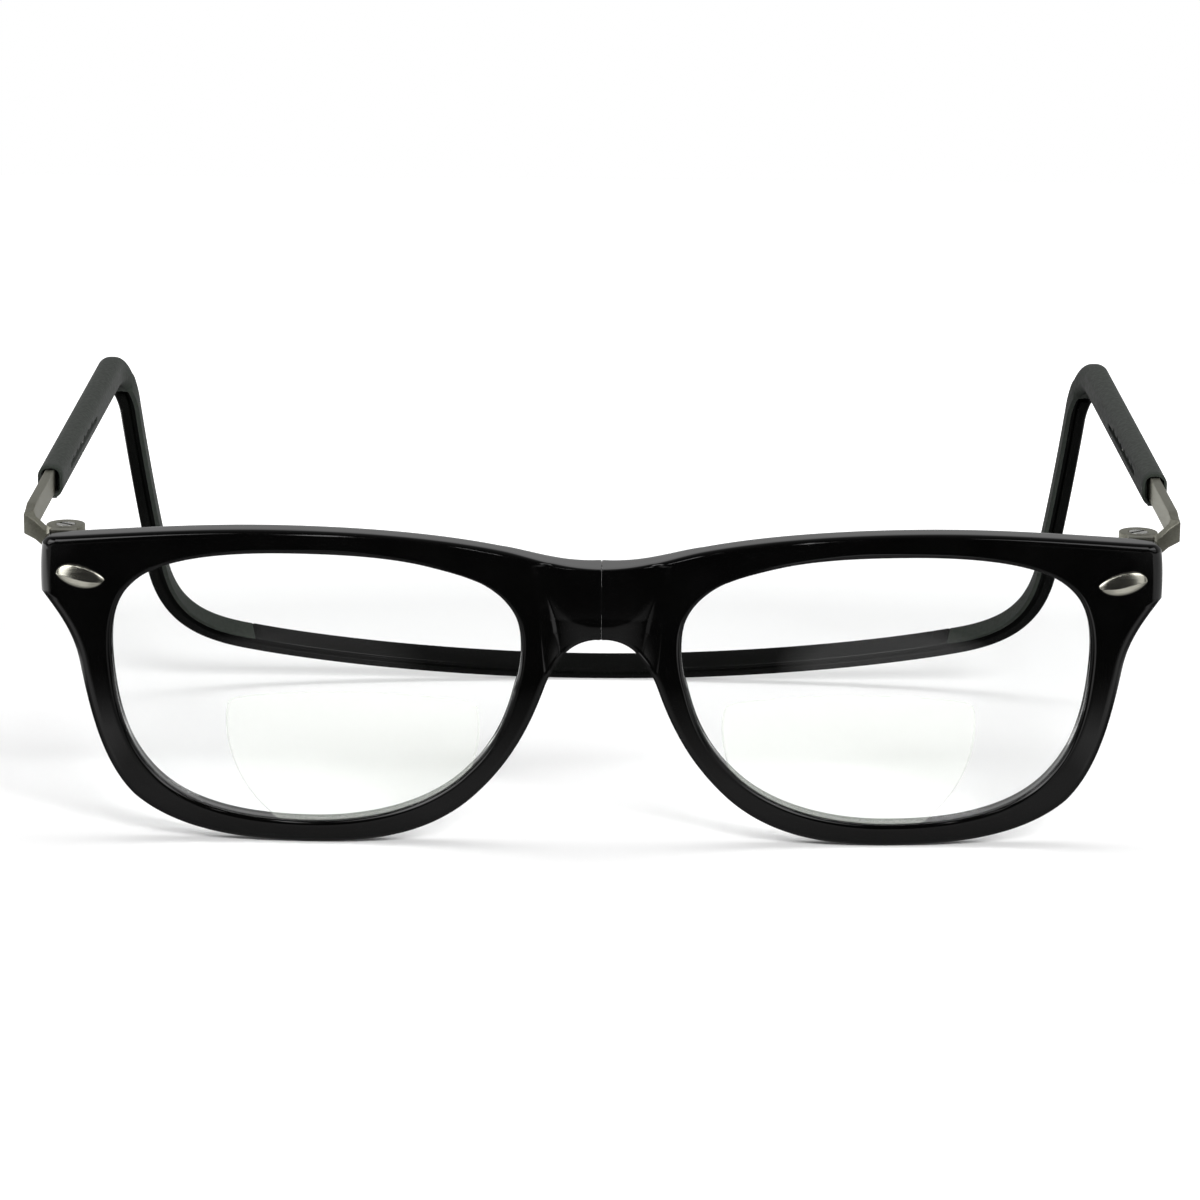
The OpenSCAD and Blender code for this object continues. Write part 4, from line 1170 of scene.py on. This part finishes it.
@dataclass(frozen=True)
class Tube:
    """Soft-touch temple tube: a hollow bar that bends down and opens into the band's channel."""

    t: TempleSizes

    @staticmethod
    def corner(x: float, y: float, r: float, start: float) -> list:
        """Points of a quarter circle that turns clockwise from an angle."""
        return arc((x, y), r, start, start - 90, 8)

    def bar(self, w: float, h: float, r: float) -> list:
        """Section of the closed bar, with as many points as the channel's."""
        x, y = w / 2 - r, h / 2 - r
        floor = [[p * w / 4, -h / 2] for p in (1, 0, -1)]
        return (self.corner(-x, y, r, 180) + self.corner(x, y, r, 90) + self.corner(x, -y, r, 0) + floor
                + self.corner(-x, -y, r, -90))

    def channel(self, w: float, h: float, lip: float, web: float) -> list:
        """Section of the open channel."""
        x, y, r = w / 2, h / 2, self.t.band_r + lip
        side, tip, foot = web / 2, 0.4 * lip, 0.3 * web
        inner = [[x - lip, -y], [x - lip, y - web - 0.3], [x - lip - 0.3, y - web]]
        return (self.corner(side - x, y - side, side, 180) + self.corner(x - r, y - r, r, 90)
                + self.corner(x - tip, tip - y, tip, 0) + inner + self.corner(foot - x, y - web + foot, foot, -90))

    def shell(self) -> Shell:
        """Returns the tube, still without its bore and slot."""
        s = self.t
        rings = []
        for k in range(40):
            grow = 1 + (s.swell - 1) * k / 40
            y = s.arm.tube_front + (s.bend_y - s.arm.tube_front) * k / 40
            for behind, soft in ((0, 0.16), (0.04, 0.07), (0.12, 0)) if k == 0 else ((0, 0),):
                place = ([s.arm.x, y + behind, s.arm.hinge.temple_z], [-1, 0, 0], [0, 0, 1])
                rings.append(self.ring(place, self.bar(s.mouth_w * grow - soft, s.mouth_h * grow - soft, s.bar_r)))
        for i, steps in enumerate((40, 24, 36)):
            for k in range(steps + (1 if i == 2 else 0)):
                t = k / steps
                (w, h), wall = s.outer_size(i, t), s.wall(i, t)
                share = smooth((t - s.open_at) / s.opening + 1) if i == 0 else 1.0
                bar = np.array(self.bar(w, h, s.bar_r))
                open_ = np.array(self.channel(w, h, s.lip_t * wall, s.web_t * wall))
                rings.append(self.ring(s.across(i, t), bar + (open_ - bar) * share))
        return Shell.through(rings)

    @staticmethod
    def ring(place: tuple, section: list) -> list:
        """Points of a section at a place of the route."""
        base, side, up = (np.array(v, float) for v in place)
        return [base + q[0] * side + q[1] * up for q in section]

    def bore(self) -> Shell:
        """Returns the bore of the arm's strip."""
        a, z, shell = self.t.arm, self.t.arm.hinge.temple_z, Shell()
        w, h = a.thick / 2 + self.t.play, a.high / 2 + self.t.play
        shell.box((a.x - w, a.tube_front - 1, z - h), (a.x + w, a.tip + a.travel + 1.5, z + h))
        return shell

    def mouth(self) -> Shell:
        """Returns the wider part of the bore at its mouth."""
        s, a, wall = self.t, self.t.arm, self.t.mouth_wall
        ring = rounded_box(s.mouth_w - 2 * wall, s.mouth_h - 2 * wall, s.bar_r - wall, 8)
        return Shell.through([[(a.x + p, y, a.hinge.temple_z + q) for p, q in ring]
                              for y in (a.tube_front - 1, a.tube_front + s.mouth_deep)])

    def slot(self) -> Shell:
        """Returns the slot on the inner side, as deep as its notches."""
        s, a = self.t, self.t.arm
        z, start, end = a.hinge.temple_z, a.slot_front, a.slot_front + a.slot_l
        low, edge, last = z - s.slot_h / 2, z + s.slot_h / 2, start + (s.notches - 0.15) * s.pitch
        top = edge + s.notch_d
        outline = [(start, low), (end, low), (end, edge), (last, edge), (last, top), (start, top)]
        return Shell.through([[(x, y, height) for y, height in outline] for x in (a.x - s.mouth_w, a.x)])


@dataclass(frozen=True)
class DetentRack:
    """Row of teeth along the upper edge of the tube's slot, made with Geometry Nodes."""

    t: TempleSizes

    def tooth(self) -> bpy.types.Mesh:
        """One tooth between two notches, in metres, as worn and round the origin."""
        s = self.t
        high, wide = s.notch_d, s.pitch
        outline = [(-0.65 * wide, high + 0.2), (0.35 * wide, high + 0.2), (0.35 * wide, high), (0, 0),
                   (-0.55 * wide, 0), (-0.65 * wide, high)]
        rings = [[(x, y, z) for y, z in rounded(outline, [0.02, 0.02, 0.03, 0.12, 0.12, 0.03], 4)]
                 for x in (0, 0.05, 0.6)]
        rings[0] = [(x, y, z + 0.03) for x, y, z in rings[0]]
        shell = Shell.through(rings)
        mesh = bpy.data.meshes.new("detent_tooth")
        mesh.from_pydata((np.array(shell.points) * MM).tolist(), [], shell.faces)
        return mesh

    def tree(self, tooth: bpy.types.Object, material: bpy.types.Material) -> bpy.types.GeometryNodeTree:
        """Node tree that sets teeth along a line.

        Args:
            tooth: the object to repeat.
            material: the finish of the whole row.

        Returns:
            The tree, with inputs for the number of teeth and the pitch.
        """
        tree = bpy.data.node_groups.new("detent_rack", "GeometryNodeTree")
        face = tree.interface
        face.new_socket("Geometry", in_out="INPUT", socket_type="NodeSocketGeometry")
        count = face.new_socket("Teeth", in_out="INPUT", socket_type="NodeSocketInt")
        pitch = face.new_socket("Pitch", in_out="INPUT", socket_type="NodeSocketVector")
        count.default_value, pitch.default_value = 7, (0, self.t.pitch * MM, 0)
        face.new_socket("Geometry", in_out="OUTPUT", socket_type="NodeSocketGeometry")
        g = Graph(tree)
        source = g.add("NodeGroupInput").outputs
        line = g.add("GeometryNodeMeshLine", Count=source["Teeth"], Offset=source["Pitch"]).outputs["Mesh"]
        item = g.add("GeometryNodeObjectInfo", Object=tooth).outputs["Geometry"]
        row = g.add("GeometryNodeInstanceOnPoints", Points=line, Instance=item).outputs["Instances"]
        real = g.add("GeometryNodeRealizeInstances", Geometry=row).outputs["Geometry"]
        dress = g.add("GeometryNodeSetMaterial", Geometry=real, Material=material).outputs["Geometry"]
        g.add("NodeGroupOutput", Geometry=dress)
        return tree

    def build(self, side: Side, rest: RestPose, material: bpy.types.Material) -> bpy.types.Object:
        """Makes the rack of one side as a plain mesh in its place."""
        s, a = self.t, self.t.arm
        tooth = bpy.data.objects.new("detent_tooth", self.tooth())
        holder = bpy.data.objects.new("rack_maker", bpy.data.meshes.new("rack_maker"))
        for item in (tooth, holder):
            bpy.context.scene.collection.objects.link(item)
        tree = self.tree(tooth, material)
        modifier = holder.modifiers.new("rack", "NODES")
        modifier.node_group = tree
        sockets = {i.name: i.identifier for i in tree.interface.items_tree if i.in_out == "INPUT"}
        modifier[sockets["Teeth"]] = s.notches + 1
        modifier[sockets["Pitch"]] = (0.0, s.pitch * MM, 0.0)
        graph = bpy.context.evaluated_depsgraph_get()
        made = bpy.data.meshes.new_from_object(holder.evaluated_get(graph))
        edge = a.hinge.temple_z + s.slot_h / 2 - 0.02
        start = np.array([a.x - s.mouth_w / 2 - 0.005, a.slot_front + 0.4 * s.pitch, edge])
        shell = Shell()
        shell.add([np.array(v.co) / MM + start for v in made.vertices], [list(p.vertices) for p in made.polygons])
        holder.modifiers.remove(modifier)
        for o in (holder, tooth):
            bpy.data.objects.remove(o)
        bpy.data.meshes.remove(made)
        return rest.piece("detent_rack_" + side.tag, shell, side, material)


@dataclass(frozen=True)
class Band:
    """Polished band behind the neck, held in both channels."""

    t: TempleSizes

    def section(self, i: int, t: float) -> list:
        """Section of the band at a place of the route."""
        s = self.t
        w, h = s.outer_size(i, t)
        thin = 0.04 if i == 3 else 0.04 * t if i == 2 else 0
        x, y, wall = w / 2 - thin, h / 2 - thin, s.wall(i, t)
        free = i == 3
        top = y if free else y - s.web_t * wall - s.clear
        side = x if free else x - s.lip_t * wall - s.clear
        deep = s.groove_d * (1 - 0.85 * t) if free else s.groove_d
        lip = x - s.lip_t
        groove = lip - s.groove_w
        foot = -y if free else deep - y
        corners = [(-x, top), (side, top), (side, foot), (lip - 0.05, foot), (lip - 0.1, deep - y),
                   (groove, deep - y), (groove, -y), (-x, -y)]
        return rounded(corners, [0.5, 0.5, 0.2, 0.12, 0.12, 0.12, 0.15, 0.6])

    def shell(self) -> Shell:
        """Returns the whole band, from one channel round to the other."""
        s = self.t
        stops = [(0, t) for t in np.linspace(s.open_at + s.opening, 1, 10)[:-1]]
        for i, steps in ((1, 24), (2, 36), (3, 48)):
            stops += [(i, t) for t in np.linspace(0.015 if i == 3 else 0, 1, steps + 1)[: None if i == 3 else -1]]
        half = [Tube.ring(s.across(i, t), self.section(i, t)) for i, t in stops]
        return Shell.through(half + [[p * [-1, 1, 1] for p in ring] for ring in half[-2::-1]])


def carved(piece: bpy.types.Object, cutters: list) -> None:
    """Cuts other meshes out of a piece and removes them.

    Args:
        piece: the piece that is cut.
        cutters: the objects to cut away, each one closed.
    """
    for cutter in cutters:
        step = piece.modifiers.new("cut", "BOOLEAN")
        step.operation, step.solver, step.object = "DIFFERENCE", "EXACT", cutter
    graph = bpy.context.evaluated_depsgraph_get()
    made = bpy.data.meshes.new_from_object(piece.evaluated_get(graph))
    piece.modifiers.clear()
    whole, piece.data = piece.data, made
    name = whole.name
    bpy.data.meshes.remove(whole)
    made.name = name
    made.shade_smooth()
    made.set_sharp_from_angle(angle=math.radians(32))
    for cutter in cutters:
        bpy.data.objects.remove(cutter)


@dataclass(frozen=True)
class SidePatch:
    """Pale part of the mirrored floor beside the glasses."""

    reach: tuple[float, float]
    level: float
    near: tuple[float, float]
    far: float = 9.0


@dataclass(frozen=True)
class Lamp:
    """Soft rectangular lamp, which may leave out glossy or matte surfaces."""

    name: str
    place: tuple[float, float, float]
    aim: tuple[float, float, float]
    size: tuple[float, float]
    power: float
    shine: bool = True
    matte: bool = True

    def build(self) -> None:
        """Makes the lamp."""
        data = bpy.data.lights.new(self.name, "AREA")
        data.shape, data.energy = "RECTANGLE", self.power
        data.size, data.size_y = self.size
        lamp = bpy.data.objects.new(self.name, data)
        way = (Vector(self.aim) - Vector(self.place)).normalized()
        lamp.matrix_world = Matrix.Translation(self.place) @ way.to_track_quat("-Z", "Y").to_matrix().to_4x4()
        lamp.visible_glossy, lamp.visible_diffuse = self.shine, self.matte
        bpy.context.scene.collection.objects.link(lamp)


@dataclass(frozen=True)
class Camera:
    """The photograph's camera."""

    focal_px: float = 4384.8
    frame_px: float = 1200
    sensor: float = 36
    shift_px: float = -1.5
    elevation: float = 7.0
    roll: float = 0.42
    distance: float = 0.540
    aim: tuple[float, float, float] = (0, -0.0736, 0.03078)

    def build(self) -> None:
        """Sets the camera at the photograph's viewing angle."""
        data = bpy.data.cameras.new("photo_camera")
        data.sensor_width = self.sensor
        data.lens = self.sensor * self.focal_px / self.frame_px
        data.shift_x = self.shift_px / self.frame_px
        data.clip_start, data.clip_end = 0.01, 20
        camera = bpy.data.objects.new("photo_camera", data)
        up = math.radians(self.elevation)
        back = Vector((0, -math.cos(up), math.sin(up)))
        camera.location = Vector(self.aim) + back * self.distance
        look = (-back).to_track_quat("-Z", "Y").to_matrix().to_4x4()
        roll = Matrix.Rotation(math.radians(self.roll), 4, "Z")
        camera.matrix_world = Matrix.Translation(camera.location) @ look @ roll
        bpy.context.scene.collection.objects.link(camera)
        bpy.context.scene.camera = camera


class Studio:
    """Floor, backdrop, lamps and camera.

    A range of levels is its first and last level with the two distances, places or heights of them.
    """

    floor_size = 3.0
    floor_grey = (0.8, 0.8, 0.8, 1)
    glow_away = (0.02, 0.95, 0.1, 0.4)
    glow_behind = (0.02, 0.24, -0.05, 0.06)
    even_light = 0.4
    # what polished surfaces see of the floor: before, under and behind the front, aside, and two small cards
    before_front = (0.02, 0.35, -0.125, -0.09)
    under_front = (1, 0.15, -0.082, -0.06)
    behind_band = (0, 0.9, 0.08, 0.14)
    patches = (SidePatch((-0.058, -0.07), 0.6, (-0.118, -0.102), -0.085),
               SidePatch((0.058, 0.07), 0.6, (-0.118, -0.102), -0.085),
               SidePatch((-0.108, -0.14), 1.9, (-0.17, -0.12)), SidePatch((0.108, 0.15), 0.7, (-0.17, -0.12)),
               SidePatch((-0.1, -0.13), 0.4, (-0.35, -0.27)), SidePatch((0.1, 0.13), 0.6, (-0.35, -0.27)))
    patch_fade = 0.015
    cards = ((0.047, 0.8), (-0.047, 0.3))
    card_y = -0.131
    card_r = (0.013, 0.02)
    # what they see of the backdrop: its levels in depth and in height, and directions of two side cards
    backdrop_deep = (0, 1, -0.5, 0.15)
    backdrop_high = (0.62, 0.13, 0.55, 0.95)
    backdrop_least = 0.02
    side_card_edge = (0.925, 0.97)
    side_cards = (((-0.7, -0.66, 0.4), 2.2), ((0.7, -0.66, 0.42), 0.9))
    lamps = (Lamp("overhead_softbox", (0, 0.05, 0.75), (0, -0.02, 0), (0.7, 0.45), 2.0, shine=False),
             Lamp("front_softbox", (0.19, -0.87, 0.35), (0, -0.05, 0), (0.32, 0.22), 13.5, shine=False),
             Lamp("left_softbox", (-0.5, -0.48, 0.6), (0, -0.05, 0.02), (0.5, 0.4), 1.5, matte=False),
             Lamp("right_softbox", (0.5, -0.48, 0.6), (0, -0.05, 0.02), (0.5, 0.4), 1.2, matte=False),
             Lamp("left_strip", (-0.13, -0.6, 0.62), (0, -0.07, 0.03), (0.035, 0.25), 0.1, matte=False),
             Lamp("right_strip", (0.055, -0.62, 0.62), (0, -0.07, 0.03), (0.014, 0.22), 0.04, matte=False))

    @staticmethod
    def shown(g: Graph, lit: Socket, mirrored: Socket, seen: Socket) -> Socket:
        """Shader that differs by the ray that meets it.

        Args:
            g: the node tree.
            lit: shader for the rays that light matte surfaces.
            mirrored: shader for the rays that a polished surface has turned.
            seen: shader for the rays that come straight from the camera, or through the lenses.

        Returns:
            The shader between the three.
        """
        path = g.add("ShaderNodeLightPath").outputs
        straight = g.math("MAXIMUM", path["Is Camera Ray"], path["Is Transmission Ray"])
        turned = g.math("ADD", path["Glossy Depth"], path["Diffuse Depth"], clamp=True)
        direct = g.math("MULTIPLY", straight, g.math("SUBTRACT", 1.0, turned))
        glossy = g.math("MAXIMUM", path["Is Glossy Ray"], g.math("MINIMUM", path["Glossy Depth"], 1.0))
        return g.blend(direct, g.blend(glossy, lit, mirrored), seen)

    def mirrored_floor(self, g: Graph, place: Socket, x: Socket, y: Socket) -> Socket:
        """Level of the floor that polished surfaces see; the cards are left out of what a lens shows."""
        level = g.math("MULTIPLY", g.levels(y, *self.before_front), g.levels(y, *self.under_front))
        level = g.math("MAXIMUM", level, g.levels(y, *self.behind_band))
        for p in self.patches:
            side = g.math("MULTIPLY", g.levels(x, 0, p.level, *p.reach), g.levels(y, 0, 1, *p.near))
            side = g.math("MULTIPLY", side, g.levels(y, 1, 0, p.far, p.far + self.patch_fade))
            level = g.math("MAXIMUM", level, side)
        unglazed = g.levels(g.add("ShaderNodeLightPath").outputs["Transmission Depth"], 1, 0, 0, 1)
        for card_x, strength in self.cards:
            card = g.levels(g.measure("DISTANCE", place, (card_x, self.card_y, 0)), strength, 0, *self.card_r)
            level = g.math("MAXIMUM", level, g.math("MULTIPLY", card, unglazed))
        return level

    def floor(self) -> None:
        """Lays the pale floor, which reads as white to the camera and keeps the shadow."""
        mesh, r = bpy.data.meshes.new("floor"), self.floor_size
        mesh.from_pydata([(-r, -r, 0), (r, -r, 0), (r, r, 0), (-r, r, 0)], [], [(0, 1, 2, 3)])
        floor = bpy.data.objects.new("floor", mesh)
        bpy.context.scene.collection.objects.link(floor)
        material = bpy.data.materials.new("floor_white")
        material.use_nodes = True
        material.node_tree.nodes.clear()
        g = Graph(material.node_tree)
        place = g.add("ShaderNodeNewGeometry").outputs["Position"]
        split = g.add("ShaderNodeSeparateXYZ", Vector=place).outputs
        spread = g.levels(g.measure("LENGTH", place), *self.glow_away)
        behind = g.levels(split["Y"], *self.glow_behind)
        plain = g.add("ShaderNodeBsdfDiffuse", Color=self.floor_grey).outputs["BSDF"]
        glow = g.add("ShaderNodeEmission", Strength=g.math("MAXIMUM", spread, behind)).outputs["Emission"]
        level = self.mirrored_floor(g, place, split["X"], split["Y"])
        gloss = g.add("ShaderNodeEmission", Strength=level).outputs["Emission"]
        both = g.add("ShaderNodeAddShader")
        g.put(plain, both.inputs[0])
        g.put(glow, both.inputs[1])
        g.add("ShaderNodeOutputMaterial", Surface=self.shown(g, plain, gloss, both.outputs["Shader"]))
        mesh.materials.append(material)

    def world(self) -> None:
        """Sets the even light, the white backdrop, and what gloss and glass see of it."""
        world = bpy.data.worlds.new("studio")
        bpy.context.scene.world = world
        world.use_nodes = True
        world.node_tree.nodes.clear()
        g = Graph(world.node_tree)
        way = g.add("ShaderNodeTexCoord").outputs["Generated"]
        split = g.add("ShaderNodeSeparateXYZ", Vector=way).outputs
        level = g.math("MULTIPLY_ADD", g.levels(split["Y"], *self.backdrop_deep),
                       g.levels(split["Z"], *self.backdrop_high), self.backdrop_least)
        for card_way, strength in self.side_cards:
            near = g.measure("DOT_PRODUCT", way, Vector(card_way).normalized())
            card = g.levels(near, 0, strength, *self.side_card_edge)
            level = g.math("MAXIMUM", level, card)
        even, white = (g.add("ShaderNodeBackground", Color=(1, 1, 1, 1), Strength=strength).outputs["Background"]
                       for strength in (self.even_light, 1.0))
        gloss = g.add("ShaderNodeBackground", Strength=level).outputs["Background"]
        g.add("ShaderNodeOutputWorld", Surface=self.shown(g, even, gloss, white))

    def build(self) -> None:
        """Makes the whole studio."""
        Camera().build()
        self.floor()
        self.world()
        for lamp in self.lamps:
            lamp.build()
        bpy.context.scene.view_settings.view_transform = "Standard"


@dataclass(frozen=True)
class Part:
    """One piece of a side: its name, shape, finish, slot and node, and the edges that stay sharp or are bevelled."""

    name: str
    shell: Shell
    finish: bpy.types.Material
    slot: Slot
    node: str = ""
    crease: float = 32
    bevel: float = 0


class Glasses:
    """All the pieces of the glasses."""

    magnet_r = 1.8
    magnet_l = 2.1

    def __init__(self) -> None:
        """Works out the sizes and the finishes."""
        self.front = FrontSizes()
        self.half = HalfFront(self.front)
        self.hinge = HingeSizes(self.front)
        self.arm = ArmSizes(self.hinge)
        self.temple = TempleSizes(self.arm)
        self.rest = RestPose(frame["joints"], self.hinge.middle())
        self.looks = Finishes()

    def put(self, side: Side, body: str, part: Part, dress: Callable[[bpy.types.Object], None] | None = None) -> None:
        """Makes one piece of a side.

        Args:
            side: the side it is on.
            body: the body that it rides on.
            part: what it is.
            dress: what else is done to it before it settles.
        """
        piece = self.rest.piece(f"{part.name}_{side.tag}", part.shell, side, part.finish, part.crease, part.bevel)
        if dress:
            dress(piece)
        settle(piece, body, part.slot, *([f"{part.node}_{side.tag}"] if part.node else []))

    def build_front(self, side: Side) -> None:
        """Makes one half front with its lens, rivet and magnet."""
        body, looks, lens = "front_" + side.tag, self.looks, Lens(self.half)
        self.put(side, body, Part("rim", self.half.shell(), looks.front, Slot.FRONT, "half_front", 38))
        self.put(side, body, Part("lens", lens.body(), looks.lens, Slot.LENS, "bifocal_lens"))
        self.put(side, body, Part("reading_segment", lens.window(), looks.segment, Slot.LENS),
                 lambda piece: lens.window_map(piece, self.rest, side))
        rivet = Rivet(self.front).shell()
        self.put(side, body, Part("rivet_head", rivet, looks.rivet, Slot.RIVET, "almond_rivet", 50))
        self.put(side, body, Part("magnet_disc", self.magnet(), looks.magnet, Slot.MAGNET, "bridge_magnet", 40, 0.12))

    def magnet(self) -> Shell:
        """Returns the magnet in the seam's face."""
        s = self.front
        y, z = s.dip + (s.bridge_t - s.dip) / 2, (s.seam_top + s.arch_z) / 2
        return Shell.through([[(x, y + across, z + up) for across, up in circle(self.magnet_r, 64)]
                              for x in (s.seam - 0.02, s.seam + self.magnet_l)])

    def build_hinge(self, side: Side) -> None:
        """Makes the bracket, the screw and the washers of one side."""
        body, looks, hinge = "front_" + side.tag, self.looks, Hinge(self.hinge)
        for part in (Part("hinge_plate", hinge.bracket(), looks.pewter, Slot.PEWTER, "hinge_bracket", 32, 0.12),
                     Part("hinge_discs", hinge.discs(), looks.pewter, Slot.PEWTER),
                     Part("screw", hinge.screw(), looks.screw, Slot.SCREW, "hinge_screw"),
                     Part("washers", hinge.washers(), looks.washer, Slot.WASHER, "hinge_washers")):
            self.put(side, body, part)

    def build_arm(self, side: Side) -> None:
        """Makes the arm and its peg of one side."""
        body, looks, arm = "arm_" + side.tag, self.looks, Arm(self.arm)
        for part in (Part("arm_strip", arm.strip(), looks.pewter, Slot.PEWTER, "arm", 35, 0.14),
                     Part("arm_eye", arm.eye(), looks.pewter, Slot.PEWTER),
                     Part("peg", arm.peg(), looks.screw, Slot.SCREW, "detent_peg")):
            self.put(side, body, part)

    def build_tube(self, side: Side) -> None:
        """Makes the temple tube of one side with its rack of teeth."""
        tube, finish = Tube(self.temple), self.looks.tube

        def carve(piece: bpy.types.Object) -> None:
            """Cuts the bore, its mouth and the slot."""
            shells = (tube.bore(), tube.mouth(), tube.slot())
            carved(piece, [self.rest.piece("cut", shell, side, finish) for shell in shells])

        self.put(side, "headband", Part("soft_tube", tube.shell(), finish, Slot.TUBE, "temple_tube"), carve)
        settle(DetentRack(self.temple).build(side, self.rest, finish), "headband", Slot.TUBE)

    def build(self) -> None:
        """Makes every piece."""
        for side in Side:
            for build in (self.build_front, self.build_hinge, self.build_arm, self.build_tube):
                build(side)
        band = self.rest.piece("nape_band", Band(self.temple).shell(), Side.LEFT, self.looks.band)
        settle(band, "headband", Slot.BAND, "neck_band")


def main() -> None:
    """Builds the studio and the glasses."""
    logging.basicConfig(level=logging.INFO, format="%(message)s")
    Studio().build()
    Glasses().build()


if __name__ == "__main__":
    main()
